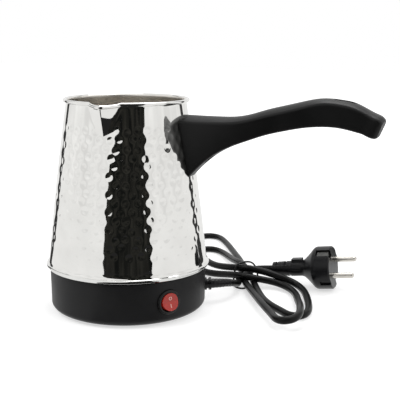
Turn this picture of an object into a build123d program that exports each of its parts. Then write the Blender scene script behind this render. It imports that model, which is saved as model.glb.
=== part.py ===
from build123d import *
from math import cos, radians, sin, tan
import os

os.makedirs("parts", exist_ok=True)

# Frame: origin on the pot's axis at the resting surface, +Z up, +X towards the handle. Millimetres.

# Bearings round the axis, degrees from +X.
SPOUT_ANGLE = -84.2
SWITCH_ANGLE = -35.5
CORD_ANGLE = 27.0
STUD_ANGLES = (5.0, 125.0, 245.0)
COLUMN_ANGLES = (65.0, 185.0, 305.0)

# Plastic base.
BASE_R = 62.5
BASE_DRAFT = 0.45
BASE_LOW_Z = 0.8
BASE_TOP_Z = 34.7
CORNER_X = 8.65
CORNER_Z = 5.8
SHELL = 2.6
COLLAR_H = 2.6
COLLAR_OUT_R = BASE_R - 1.7
COLLAR_IN_R = COLLAR_OUT_R - 3.8
DECK_IN_R = BASE_R - 15.5
COLLAR_TOP_Z = BASE_TOP_Z + COLLAR_H
DECK_LOW_Z = BASE_TOP_Z - SHELL
INNER_R = BASE_R - BASE_DRAFT - SHELL

# Bottom cover and foot.
COVER_CLEARANCE = 0.2
COVER_R = BASE_R - 11.2
COVER_T = 2.0
COVER_LOW_Z = BASE_LOW_Z + 0.4
COVER_TOP_Z = COVER_LOW_Z + COVER_T
COLUMN_RING_R = COVER_R - 5.3
COLUMN_R = 4.0
FOOT_OUT_R = COLUMN_RING_R - 5.0
FOOT_WIDTH = 5.0
FOOT_RECESS = 0.6
SCREW_R = 1.5
SCREW_HOLE_R = SCREW_R + 0.05
SCREW_PASS_R = SCREW_R + 0.2
SCREW_HEAD_R = 3.0

# Pot: the wall is a shallow arc from foot to rim.
WEB_T = 1.0
POT_Z = COLLAR_TOP_Z + WEB_T
POT_HEIGHT = 128.57
RIM_Z = POT_Z + POT_HEIGHT
POT_FOOT_R = BASE_R + 0.9
POT_RIM_R = 46.9
POT_BULGE = 0.8
POT_WALL = 0.8
POT_BOTTOM_T = 1.2
RIM_BEAD_R = 1.49
RIM_BEAD_SHIFT = 1.15
SPOUT_REACH = 8.0
SPOUT_HALF_ANGLE = 14.9
SPOUT_DEPTH = 23.0
SPOUT_LOW_H = 3.4
SPOUT_LOW_ANGLE = 7.5
RING_BEAD_R = 1.65
RING_R = BASE_R + 1.1
RING_Z = COLLAR_TOP_Z - 0.13

# Heater under the pot.
PLATE_R = DECK_IN_R - 3.0
PLATE_T = 4.0
PLATE_LOW_Z = POT_Z - PLATE_T
ELEMENT_R = 3.75
ELEMENT_GAP = 15.0
ELEMENT_Z = PLATE_LOW_Z - ELEMENT_R
SHIELD_T = 0.8
SHIELD_LOW_Z = PLATE_LOW_Z - 10.3
SHIELD_R = COLUMN_RING_R - COLUMN_R - 0.6
STUD_RING_R = COLUMN_RING_R - 10.0
STUD_R = 2.0
STUD_HOLE_R = 2.2
SPACER_R = 3.5
ELEMENT_RING_R = STUD_RING_R - SPACER_R - ELEMENT_R - 1.75
LUG_T = 2.5
LUG_R = 6.0
LUG_TOP_Z = SHIELD_LOW_Z
LUG_LOW_Z = LUG_TOP_Z - LUG_T
WASHER_R = 4.5
WASHER_T = 0.8
NUT_AF = 7.0
NUT_T = 3.2
PIN_R = 1.5
THERMOSTAT_R = 8.0
THERMOSTAT_H = 7.0
BLADE_T = 0.8
BLADE_W = 6.3

# Rocker switch, in its own frame: x along the wall, y up, z outwards from the seat.
SWITCH_Z = 18.64
SWITCH_SEAT_R = BASE_R - 0.85
BEZEL_R = 9.6
BEZEL_T = 2.2
BARREL_R = 8.5
BARREL_DEPTH = 14.0
BARREL_FLOOR = 2.0
WINDOW_R = 7.5
ROCKER_R = 6.75
ROCKER_TILT = 11.0
ROCKER_FRONT = 4.8
ROCKER_BACK = 3.0
ROCKER_DISH = 1.5
TRUNNION_R = 1.0
TRUNNION_HALF = 7.9
PIVOT_CLEARANCE = 0.05
LEVER_Z = -10.2
LEVER_T = 0.6
LEVER_W = 3.6
LEVER_HALF = 4.6
LEVER_TILT = 7.7
CONTACT_Y = 3.6
SWITCH_BLADE_W = 4.8
SWITCH_BLADE_T = 0.8
SWITCH_BLADE_END = -21.0

# Mains cord.
CORD_R = 3.0
CORD_Z = 15.5
CORD_FIT = 0.05
CORD_END_R = BASE_R - 20.5
BUSH_TIP_R = BASE_R + 5.0
BUSH_SEAT_R = BASE_R - 0.6
BUSH_FLANGE_R = 5.2
BUSH_NECK_R = 4.0
CLAMP_RING_R = CORD_END_R + 6.0
WIRE_R = 1.0
TIE_X = 65.6
TIE_Y = 82.2
HANK_H = 6.0
BUNDLE_LOW_Z = 1.2
BUNDLE_H = 14.3
TIE_T = 1.1

# Plug lying on the surface.
PLUG_X = 147.0
PLUG_Y = 100.4
PLUG_TILT = 7.3
PLUG_R = 18.5
PLUG_BARREL = 12.0
PLUG_FLARE = 17.0
PLUG_NECK_R = 6.8
PLUG_LENGTH = 53.5
PLUG_PIN_R = 2.4
PLUG_PIN_LENGTH = 19.0
PLUG_PIN_PITCH = 19.0
PLUG_ROLL = 57.0

# Handle: sections across it, each (x, underside, side edge, crest).
HANDLE_SECTIONS = (
    (44.0, 99.0, 153.2, 157.1),
    (52.0, 106.5, 152.4, 157.0),
    (60.0, 115.2, 152.2, 156.9),
    (69.0, 123.4, 152.2, 156.8),
    (79.0, 130.3, 152.5, 156.8),
    (90.0, 135.6, 153.2, 157.2),
    (102.0, 140.2, 155.3, 159.4),
    (115.0, 144.8, 158.8, 163.4),
    (129.0, 148.4, 162.4, 167.0),
    (143.0, 151.3, 166.1, 170.5),
    (157.0, 152.7, 169.6, 172.9),
    (171.0, 152.1, 169.0, 172.1),
    (184.0, 149.4, 165.5, 168.6),
)
# The same three lines beyond the last section, where the end slants: (x, underside, side edge, crest).
HANDLE_TAIL = (210.0, 140.4, 153.2, 155.8)
HANDLE_END_ROUNDING = ((9.0, 0.0), (2.4, 0.0), (0.7, 0.75), (0.0, 2.4))
HANDLE_TOP_HALF = 10.5
HANDLE_LOW_HALF = 7.0
HANDLE_EDGE_R = 2.2
HANDLE_GAP = 0.05
HANDLE_END_X = 198.5
HANDLE_END_Z = 151.7
HANDLE_END_SLANT = 20.5
SLOT_X = 172.5
SLOT_LENGTH = 17.0
SLOT_WIDTH = 6.5
TONGUE_Z = 139.0
TONGUE_T = 2.0
TONGUE_HALF = 5.0
TONGUE_END_X = 78.0
HANDLE_SCREW_X = 70.0
HANDLE_SCREW_R = 2.0
BRACKET_T = 1.5
BRACKET_LOW_Z = 128.0
BRACKET_TOP_Z = 152.0


def polar(radius, angle, z=0.0):
    """Point at a radius and a bearing round the pot's axis."""
    return (radius * cos(radians(angle)), radius * sin(radians(angle)), z)


def radial_plane(radius, angle, z):
    """Plane that faces outwards at a bearing: x along the wall, y up."""
    bearing = radians(angle)
    return Plane(
        origin=polar(radius, angle, z),
        x_dir=(-sin(bearing), cos(bearing), 0),
        z_dir=(cos(bearing), sin(bearing), 0),
    )


def tipped(plane, angle):
    """The same plane turned about its own x."""
    return Plane(plane.location * Location((0, 0, 0), (angle, 0, 0)))


def half_plane(angle):
    """Plane that holds the axis at a bearing: x outwards, y up."""
    bearing = radians(angle)
    return Plane(
        origin=(0, 0, 0),
        x_dir=(cos(bearing), sin(bearing), 0),
        z_dir=(sin(bearing), -cos(bearing), 0),
    )


def wall_r(z):
    """Outer radius of the pot's wall at a height."""
    t = (z - POT_Z) / POT_HEIGHT
    return POT_FOOT_R + (POT_RIM_R - POT_FOOT_R) * t + 4 * POT_BULGE * t * (1 - t)


def pot_solid(extra):
    """The pot's outer shape as a full solid, grown outwards by extra."""
    with BuildPart() as solid:
        with BuildSketch(Plane.XZ):
            with BuildLine():
                foot = (POT_FOOT_R + extra, POT_Z)
                middle = ((POT_FOOT_R + POT_RIM_R) / 2 + POT_BULGE + extra, POT_Z + POT_HEIGHT / 2)
                rim = (POT_RIM_R + extra, RIM_Z)
                ThreePointArc(foot, middle, rim)
                Polyline(rim, (0, RIM_Z), (0, POT_Z), foot)
            make_face()
        revolve(axis=Axis.Z)
    return solid.part


def beak(inset):
    """The spout's outward pressing, shrunk by inset: flat facets that meet in a ridge."""
    apex_z = RIM_Z - SPOUT_DEPTH
    low_z = apex_z + SPOUT_LOW_H
    tip_r = POT_RIM_R + SPOUT_REACH
    apex_r = wall_r(apex_z)
    low_r = apex_r + (tip_r - apex_r) * SPOUT_LOW_H / SPOUT_DEPTH
    levels = (
        (apex_z, 0.6, apex_r + 0.02),
        (low_z, SPOUT_LOW_ANGLE, low_r),
        (RIM_Z, SPOUT_HALF_ANGLE, tip_r),
    )
    with BuildPart() as solid:
        for z, half_angle, ridge_r in levels:
            edge_r = wall_r(z) - inset
            with BuildSketch(Plane.XY.offset(z)):
                with BuildLine():
                    Polyline(
                        polar(edge_r - 6, SPOUT_ANGLE - half_angle * 0.5)[:2],
                        polar(edge_r, SPOUT_ANGLE - half_angle)[:2],
                        polar(ridge_r - inset * 1.1, SPOUT_ANGLE)[:2],
                        polar(edge_r, SPOUT_ANGLE + half_angle)[:2],
                        polar(edge_r - 6, SPOUT_ANGLE + half_angle * 0.5)[:2],
                        close=True,
                    )
                make_face()
        loft(ruled=True)
    return solid.part


def tube(points, bends, radius):
    """Round section along straight runs with rounded corners."""
    with BuildPart() as run:
        with BuildLine() as path:
            FilletPolyline(*points, radius=bends)
        with BuildSketch(Plane(origin=path.line @ 0, z_dir=path.line % 0)):
            Circle(radius)
        sweep(path=path.line)
    return run.part


# Pot body: wall, spout and rolled rim.
with BuildSketch(Plane.XY.offset(RIM_Z)) as rim_outline:
    rim_path_r = POT_RIM_R + RIM_BEAD_SHIFT
    spout_tip_r = POT_RIM_R + SPOUT_REACH + RIM_BEAD_SHIFT * 1.2
    spout_point = Vector(*polar(spout_tip_r, SPOUT_ANGLE, RIM_Z))
    Circle(rim_path_r)
    with BuildLine():
        Polyline(
            (0, 0),
            polar(rim_path_r, SPOUT_ANGLE - SPOUT_HALF_ANGLE)[:2],
            polar(spout_tip_r, SPOUT_ANGLE)[:2],
            polar(rim_path_r, SPOUT_ANGLE + SPOUT_HALF_ANGLE)[:2],
            close=True,
        )
    make_face()
    near_spout = [v for v in rim_outline.vertices() if (Vector(*tuple(v)) - spout_point).length < 20]
    fillet(near_spout, radius=3.2)
with BuildPart() as rim_bead:
    with BuildSketch(Plane.XY.offset(RIM_Z - RIM_BEAD_R)):
        add(rim_outline.sketch.moved(Location((0, 0, -RIM_BEAD_R))))
        offset(amount=RIM_BEAD_R)
        with BuildSketch(Plane.XY.offset(RIM_Z - RIM_BEAD_R), mode=Mode.SUBTRACT):
            add(rim_outline.sketch.moved(Location((0, 0, -RIM_BEAD_R))))
            offset(amount=-RIM_BEAD_R)
    extrude(amount=2 * RIM_BEAD_R)
    fillet(rim_bead.edges().filter_by(Plane.XY), radius=RIM_BEAD_R * 0.96)
with BuildPart() as pot_body:
    add(pot_solid(0))
    add(beak(0))
    add(pot_solid(-POT_WALL), mode=Mode.SUBTRACT)
    add(beak(POT_WALL), mode=Mode.SUBTRACT)
    add(rim_bead.part)
pot_body.part.label = "pot_body"
export_step(pot_body.part, "parts/pot_body.step")

# Pot bottom: disc welded in the foot.
with BuildPart() as pot_bottom:
    add(pot_solid(-POT_WALL))
    split(bisect_by=Plane.XY.offset(POT_Z + POT_BOTTOM_T), keep=Keep.BOTTOM)
pot_bottom.part.label = "pot_bottom"
export_step(pot_bottom.part, "parts/pot_bottom.step")

# Trim ring: bead round the foot and the flat web that the pot stands on.
with BuildPart() as trim_ring:
    with BuildSketch(Plane.XZ):
        web_in_r = COLLAR_IN_R - 3.0
        web_width = RING_R - web_in_r
        with Locations((web_in_r + web_width / 2, COLLAR_TOP_Z + WEB_T / 2)):
            Rectangle(web_width, WEB_T)
        with Locations((RING_R, RING_Z)):
            Circle(RING_BEAD_R)
        seat_r = POT_FOOT_R + 0.05
        with Locations((seat_r - 5, POT_Z + 2)):
            Rectangle(10, 4, mode=Mode.SUBTRACT)
    revolve(axis=Axis.Z)
trim_ring.part.label = "trim_ring"
export_step(trim_ring.part, "parts/trim_ring.step")

# Base housing: shell with collar, deck, screw columns, stud lugs, switch seat and cord block.
with BuildPart() as base_housing:
    corner_x = BASE_R - BASE_DRAFT - CORNER_X
    corner_z = BASE_LOW_Z + CORNER_Z
    hole_r = COVER_R + COVER_CLEARANCE
    with BuildSketch(Plane.XZ):
        with BuildLine():
            EllipticalCenterArc((corner_x, corner_z), CORNER_X, CORNER_Z, start_angle=-90, arc_size=90)
            Polyline(
                (corner_x + CORNER_X, corner_z),
                (BASE_R, BASE_TOP_Z),
                (COLLAR_OUT_R, BASE_TOP_Z),
                (COLLAR_OUT_R, COLLAR_TOP_Z),
                (COLLAR_IN_R, COLLAR_TOP_Z),
                (COLLAR_IN_R, BASE_TOP_Z),
                (DECK_IN_R, BASE_TOP_Z),
                (DECK_IN_R, DECK_LOW_Z),
                (INNER_R, DECK_LOW_Z),
                (INNER_R, corner_z),
            )
            EllipticalCenterArc((corner_x, corner_z), CORNER_X - SHELL, CORNER_Z - SHELL, start_angle=-90, arc_size=90)
            Polyline(
                (corner_x, BASE_LOW_Z + SHELL),
                (hole_r, BASE_LOW_Z + SHELL),
                (hole_r, BASE_LOW_Z),
                (corner_x, BASE_LOW_Z),
            )
        make_face()
    revolve(axis=Axis.Z)
    for angle in COLUMN_ANGLES:
        with BuildSketch(Plane.XY.offset(COVER_TOP_Z)):
            with Locations(polar(COLUMN_RING_R, angle)[:2]):
                Circle(COLUMN_R)
        extrude(amount=DECK_LOW_Z + 1 - COVER_TOP_Z)
        rib_length = INNER_R + 0.8 - COLUMN_RING_R
        with BuildSketch(Plane.XY.offset(BASE_LOW_Z + SHELL + 2)):
            with Locations(Location(polar(COLUMN_RING_R + rib_length / 2, angle), (0, 0, angle))):
                Rectangle(rib_length, 2.4)
        extrude(amount=DECK_LOW_Z - BASE_LOW_Z - SHELL - 1)
        with BuildSketch(Plane.XY.offset(COVER_TOP_Z - 1)):
            with Locations(polar(COLUMN_RING_R, angle)[:2]):
                Circle(SCREW_HOLE_R)
        extrude(amount=15, mode=Mode.SUBTRACT)
    for angle in STUD_ANGLES:
        arm = INNER_R + 0.8 - STUD_RING_R
        with BuildSketch(Plane.XY.offset(LUG_LOW_Z)):
            with Locations(polar(STUD_RING_R, angle)[:2]):
                Circle(LUG_R)
            with Locations(Location(polar(STUD_RING_R + arm / 2, angle), (0, 0, angle))):
                Rectangle(arm, 2 * LUG_R)
            with Locations(polar(STUD_RING_R, angle)[:2]):
                Circle(STUD_HOLE_R, mode=Mode.SUBTRACT)
        extrude(amount=LUG_T)
    block_in_r = CLAMP_RING_R - 4.0
    block_length = INNER_R + 0.8 - block_in_r
    with BuildSketch(Plane.XY.offset(CORD_Z + 1.5)):
        with Locations(Location(polar(block_in_r + block_length / 2, CORD_ANGLE), (0, 0, CORD_ANGLE))):
            Rectangle(block_length, 22)
    extrude(amount=DECK_LOW_Z + 1 - CORD_Z - 1.5)
    with BuildSketch(radial_plane(0, CORD_ANGLE, CORD_Z)):
        Circle(CORD_R + CORD_FIT)
    extrude(amount=INNER_R + 1, mode=Mode.SUBTRACT)
    clamp_offset = 7.5
    with BuildSketch(Plane.XY.offset(CORD_Z + 1)):
        with Locations(Location(polar(CLAMP_RING_R, CORD_ANGLE), (0, 0, CORD_ANGLE))):
            with Locations((0, clamp_offset), (0, -clamp_offset)):
                Circle(SCREW_HOLE_R)
    extrude(amount=10, mode=Mode.SUBTRACT)
    with BuildSketch(radial_plane(BUSH_SEAT_R, CORD_ANGLE, CORD_Z)):
        Circle(BUSH_FLANGE_R + 0.2)
    extrude(amount=6, mode=Mode.SUBTRACT)
    with BuildSketch(radial_plane(INNER_R - 1, CORD_ANGLE, CORD_Z)):
        Circle(BUSH_NECK_R + CORD_FIT)
    extrude(amount=6, mode=Mode.SUBTRACT)
    with BuildSketch(radial_plane(INNER_R - 2.6, CORD_ANGLE, CORD_Z)):
        Circle(BUSH_FLANGE_R + 0.2)
    extrude(amount=2.6 - 0.2, mode=Mode.SUBTRACT)
    with BuildSketch(radial_plane(SWITCH_SEAT_R, SWITCH_ANGLE, SWITCH_Z)):
        Circle(BEZEL_R + 0.2)
    extrude(amount=6, mode=Mode.SUBTRACT)
    with BuildSketch(radial_plane(SWITCH_SEAT_R - 6, SWITCH_ANGLE, SWITCH_Z)):
        Circle(BARREL_R + 0.2)
    extrude(amount=8, mode=Mode.SUBTRACT)
base_housing.part.label = "base_housing"
export_step(base_housing.part, "parts/base_housing.step")

# Bottom cover: disc with a groove for the foot ring, sunk screw heads and vents.
with BuildPart() as bottom_cover:
    with BuildSketch(Plane.XY.offset(COVER_LOW_Z)):
        Circle(COVER_R)
    extrude(amount=COVER_T)
    with BuildSketch(Plane.XY.offset(COVER_LOW_Z)):
        Circle(FOOT_OUT_R)
        Circle(FOOT_OUT_R - FOOT_WIDTH, mode=Mode.SUBTRACT)
    extrude(amount=FOOT_RECESS, mode=Mode.SUBTRACT)
    with BuildSketch(Plane.XY.offset(COVER_LOW_Z)):
        with Locations(*[polar(COLUMN_RING_R, angle)[:2] for angle in COLUMN_ANGLES]):
            Circle(SCREW_HEAD_R + 0.3)
    extrude(amount=COVER_T / 2, mode=Mode.SUBTRACT)
    with BuildSketch(Plane.XY.offset(COVER_LOW_Z)):
        with Locations(*[polar(COLUMN_RING_R, angle)[:2] for angle in COLUMN_ANGLES]):
            Circle(SCREW_PASS_R)
    extrude(amount=COVER_T, mode=Mode.SUBTRACT)
    with BuildSketch(Plane.XY.offset(COVER_LOW_Z)):
        with GridLocations(0, 6, 1, 5):
            SlotOverall(26, 2.4)
    extrude(amount=COVER_T, mode=Mode.SUBTRACT)
bottom_cover.part.label = "bottom_cover"
export_step(bottom_cover.part, "parts/bottom_cover.step")

# Foot ring: rubber ring that the appliance stands on.
with BuildPart() as foot_ring:
    with BuildSketch():
        Circle(FOOT_OUT_R)
        Circle(FOOT_OUT_R - FOOT_WIDTH, mode=Mode.SUBTRACT)
    extrude(amount=COVER_LOW_Z + FOOT_RECESS)
foot_ring.part.label = "foot_ring"
export_step(foot_ring.part, "parts/foot_ring.step")

# Cover screws.
with BuildPart() as cover_screws:
    for angle in COLUMN_ANGLES:
        seat = COVER_LOW_Z + COVER_T / 2
        with Locations(Location(polar(COLUMN_RING_R, angle, seat))):
            Cylinder(SCREW_HEAD_R, 0.8, align=(Align.CENTER, Align.CENTER, Align.MAX))
            Cylinder(SCREW_R, 13, align=(Align.CENTER, Align.CENTER, Align.MIN))
        with Locations(Location(polar(COLUMN_RING_R, angle, seat - 0.8))):
            Box(3.2, 0.7, 0.8, mode=Mode.SUBTRACT)
            Box(0.7, 3.2, 0.8, mode=Mode.SUBTRACT)
cover_screws.part.label = "cover_screws"
export_step(cover_screws.part, "parts/cover_screws.step")

# Heat plate: aluminium disc brazed under the pot.
with BuildPart() as heat_plate:
    with BuildSketch(Plane.XY.offset(PLATE_LOW_Z)):
        Circle(PLATE_R)
    extrude(amount=PLATE_T)
    fillet(heat_plate.edges().filter_by(GeomType.CIRCLE).sort_by(Axis.Z)[0], radius=1.0)
heat_plate.part.label = "heat_plate"
export_step(heat_plate.part, "parts/heat_plate.step")

# Heating element: open ring of sheathed tube with two legs and their cold pins.
PIN_POINTS = [polar(ELEMENT_RING_R, 180 + side * ELEMENT_GAP)[:2] for side in (1, -1)]
LEG_LOW_Z = SHIELD_LOW_Z - 1.5
PIN_LOW_Z = LEG_LOW_Z - 8.5
with BuildPart() as heating_element:
    with BuildSketch(half_plane(180 + ELEMENT_GAP)):
        with Locations((ELEMENT_RING_R, ELEMENT_Z)):
            Circle(ELEMENT_R)
    revolve(axis=Axis.Z, revolution_arc=360 - 2 * ELEMENT_GAP)
    for x, y in PIN_POINTS:
        with Locations(Location((x, y, ELEMENT_Z))):
            Sphere(ELEMENT_R)
            Cylinder(ELEMENT_R, ELEMENT_Z - LEG_LOW_Z, align=(Align.CENTER, Align.CENTER, Align.MAX))
            Cylinder(PIN_R, ELEMENT_Z - PIN_LOW_Z, align=(Align.CENTER, Align.CENTER, Align.MAX))
heating_element.part.label = "heating_element"
export_step(heating_element.part, "parts/heating_element.step")

# Ceramic beads on the cold pins.
with BuildPart() as element_insulators:
    with BuildSketch(Plane.XY.offset(LEG_LOW_Z - 2)):
        with Locations(*PIN_POINTS):
            Circle(3.0)
            Circle(PIN_R, mode=Mode.SUBTRACT)
    extrude(amount=2)
element_insulators.part.label = "element_insulators"
export_step(element_insulators.part, "parts/element_insulators.step")

# Thermostat: snap-disc can with two blades.
THERMOSTAT_LOW_Z = PLATE_LOW_Z - THERMOSTAT_H
BLADE_X = 4.5
BLADE_LOW_Z = THERMOSTAT_LOW_Z - 8.3
with BuildPart() as thermostat:
    with BuildSketch(Plane.XY.offset(THERMOSTAT_LOW_Z)):
        Circle(THERMOSTAT_R)
    extrude(amount=THERMOSTAT_H)
    with BuildSketch(Plane.XY.offset(BLADE_LOW_Z)):
        with Locations((BLADE_X, 0), (-BLADE_X, 0)):
            Rectangle(BLADE_T, BLADE_W)
    extrude(amount=THERMOSTAT_LOW_Z - BLADE_LOW_Z)
thermostat.part.label = "thermostat"
export_step(thermostat.part, "parts/thermostat.step")

# Thermostat clip: strap with two feet on the plate.
CLIP_T = 0.8
with BuildPart() as thermostat_clip:
    with BuildSketch(Plane.YZ):
        with BuildLine():
            inner = THERMOSTAT_R + 3
            Polyline(
                (-inner - 6, PLATE_LOW_Z),
                (-inner - 6, PLATE_LOW_Z - CLIP_T),
                (-inner - CLIP_T, PLATE_LOW_Z - CLIP_T),
                (-inner - CLIP_T, THERMOSTAT_LOW_Z - CLIP_T),
                (inner + CLIP_T, THERMOSTAT_LOW_Z - CLIP_T),
                (inner + CLIP_T, PLATE_LOW_Z - CLIP_T),
                (inner + 6, PLATE_LOW_Z - CLIP_T),
                (inner + 6, PLATE_LOW_Z),
                (inner, PLATE_LOW_Z),
                (inner, THERMOSTAT_LOW_Z),
                (-inner, THERMOSTAT_LOW_Z),
                (-inner, PLATE_LOW_Z),
                close=True,
            )
        make_face()
    extrude(amount=2.5, both=True)
thermostat_clip.part.label = "thermostat_clip"
export_step(thermostat_clip.part, "parts/thermostat_clip.step")

# Thermal fuse: sleeve against the plate, with a lead bent down at each end.
FUSE_X = -13.0
FUSE_R = 2.0
FUSE_LEAD_Y = 9.0
FUSE_LEAD_Z = SHIELD_LOW_Z - 4.0
with BuildPart() as thermal_fuse:
    fuse_z = PLATE_LOW_Z - FUSE_R
    with Locations(Location((FUSE_X, 0, fuse_z), (90, 0, 0))):
        Cylinder(FUSE_R, 12)
    for side in (1, -1):
        add(
            tube(
                (
                    (FUSE_X, side * 5, fuse_z),
                    (FUSE_X, side * FUSE_LEAD_Y, fuse_z),
                    (FUSE_X, side * FUSE_LEAD_Y, FUSE_LEAD_Z),
                ),
                1.5,
                0.5,
            )
        )
thermal_fuse.part.label = "thermal_fuse"
export_step(thermal_fuse.part, "parts/thermal_fuse.step")

# Heat shield: disc with holes for studs, legs, blades and leads.
EARTH_FOOT = 6.0
EARTH_X = ELEMENT_RING_R - ELEMENT_R - EARTH_FOOT - 3.75
with BuildPart() as heat_shield:
    with BuildSketch(Plane.XY.offset(SHIELD_LOW_Z)):
        Circle(SHIELD_R)
        with Locations(*[polar(STUD_RING_R, angle)[:2] for angle in STUD_ANGLES]):
            Circle(STUD_HOLE_R, mode=Mode.SUBTRACT)
        with Locations(*PIN_POINTS):
            Circle(ELEMENT_R + 0.5, mode=Mode.SUBTRACT)
        Circle(7.0, mode=Mode.SUBTRACT)
        with Locations((FUSE_X, FUSE_LEAD_Y), (FUSE_X, -FUSE_LEAD_Y)):
            Circle(1.6, mode=Mode.SUBTRACT)
        with Locations((EARTH_X, 0)):
            Circle(4.2, mode=Mode.SUBTRACT)
    extrude(amount=SHIELD_T)
heat_shield.part.label = "heat_shield"
export_step(heat_shield.part, "parts/heat_shield.step")

# Mounting studs, spacers, washers and nuts.
STUD_POINTS = [polar(STUD_RING_R, angle)[:2] for angle in STUD_ANGLES]
NUT_LOW_Z = LUG_LOW_Z - WASHER_T - NUT_T
with BuildPart() as mounting_studs:
    with BuildSketch(Plane.XY.offset(NUT_LOW_Z - 1.5)):
        with Locations(*STUD_POINTS):
            Circle(STUD_R)
    extrude(amount=PLATE_LOW_Z - NUT_LOW_Z + 1.5)
mounting_studs.part.label = "mounting_studs"
export_step(mounting_studs.part, "parts/mounting_studs.step")

with BuildPart() as stud_spacers:
    with BuildSketch(Plane.XY.offset(SHIELD_LOW_Z + SHIELD_T)):
        with Locations(*STUD_POINTS):
            Circle(SPACER_R)
            Circle(STUD_HOLE_R, mode=Mode.SUBTRACT)
    extrude(amount=PLATE_LOW_Z - SHIELD_LOW_Z - SHIELD_T)
stud_spacers.part.label = "stud_spacers"
export_step(stud_spacers.part, "parts/stud_spacers.step")

with BuildPart() as stud_washers:
    with BuildSketch(Plane.XY.offset(LUG_LOW_Z - WASHER_T)):
        with Locations(*STUD_POINTS):
            Circle(WASHER_R)
            Circle(STUD_HOLE_R, mode=Mode.SUBTRACT)
    extrude(amount=WASHER_T)
stud_washers.part.label = "stud_washers"
export_step(stud_washers.part, "parts/stud_washers.step")

with BuildPart() as stud_nuts:
    with BuildSketch(Plane.XY.offset(NUT_LOW_Z)):
        with Locations(*STUD_POINTS):
            RegularPolygon(NUT_AF / 2, 6, major_radius=False)
            Circle(STUD_R, mode=Mode.SUBTRACT)
    extrude(amount=NUT_T)
stud_nuts.part.label = "stud_nuts"
export_step(stud_nuts.part, "parts/stud_nuts.step")

# Earth tab: blade with a foot welded to the plate.
EARTH_LOW_Z = SHIELD_LOW_Z - 5.0
with BuildPart() as earth_tab:
    with Locations(Location((EARTH_X, 0, PLATE_LOW_Z))):
        Box(EARTH_FOOT, BLADE_W, BLADE_T, align=(Align.MIN, Align.CENTER, Align.MAX))
        Box(BLADE_T, BLADE_W, PLATE_LOW_Z - EARTH_LOW_Z, align=(Align.MIN, Align.CENTER, Align.MAX))
earth_tab.part.label = "earth_tab"
export_step(earth_tab.part, "parts/earth_tab.step")

# Cord bush: outer flanges with a groove between, neck in the wall, inner flange.
with BuildPart() as cord_bush:
    rib = (BUSH_TIP_R - BUSH_SEAT_R) / 3
    for start, end, radius in (
        (INNER_R - 2.2, INNER_R - 0.2, BUSH_FLANGE_R),
        (INNER_R - 0.4, BUSH_SEAT_R + 0.2, BUSH_NECK_R),
        (BUSH_SEAT_R, BUSH_SEAT_R + rib, BUSH_FLANGE_R),
        (BUSH_SEAT_R + rib, BUSH_TIP_R - rib, BUSH_NECK_R),
        (BUSH_TIP_R - rib, BUSH_TIP_R, BUSH_FLANGE_R),
    ):
        with BuildSketch(radial_plane(start, CORD_ANGLE, CORD_Z)):
            Circle(radius)
        extrude(amount=end - start)
    with BuildSketch(radial_plane(INNER_R - 4, CORD_ANGLE, CORD_Z)):
        Circle(CORD_R + CORD_FIT)
    extrude(amount=20, mode=Mode.SUBTRACT)
cord_bush.part.label = "cord_bush"
export_step(cord_bush.part, "parts/cord_bush.step")

# Cord clamp and its screws, under the cord.
CLAMP_T = 6.0
CLAMP_TOP_Z = CORD_Z - 1.5
CLAMP_PLACE = Location(polar(CLAMP_RING_R, CORD_ANGLE, CLAMP_TOP_Z - CLAMP_T), (0, 0, CORD_ANGLE))
with BuildPart() as cord_clamp:
    with Locations(CLAMP_PLACE):
        Box(6, 21, CLAMP_T, align=(Align.CENTER, Align.CENTER, Align.MIN))
        with Locations((0, clamp_offset, 0), (0, -clamp_offset, 0)):
            Cylinder(SCREW_PASS_R, 30, mode=Mode.SUBTRACT)
    with BuildSketch(radial_plane(CLAMP_RING_R - 10, CORD_ANGLE, CORD_Z)):
        Circle(CORD_R + CORD_FIT)
    extrude(amount=20, mode=Mode.SUBTRACT)
cord_clamp.part.label = "cord_clamp"
export_step(cord_clamp.part, "parts/cord_clamp.step")

with BuildPart() as clamp_screws:
    with Locations(CLAMP_PLACE):
        with Locations((0, clamp_offset, 0), (0, -clamp_offset, 0)):
            Cylinder(SCREW_HEAD_R, 2, align=(Align.CENTER, Align.CENTER, Align.MAX))
            Cylinder(SCREW_R, CLAMP_T + 11, align=(Align.CENTER, Align.CENTER, Align.MIN))
clamp_screws.part.label = "clamp_screws"
export_step(clamp_screws.part, "parts/clamp_screws.step")

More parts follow.
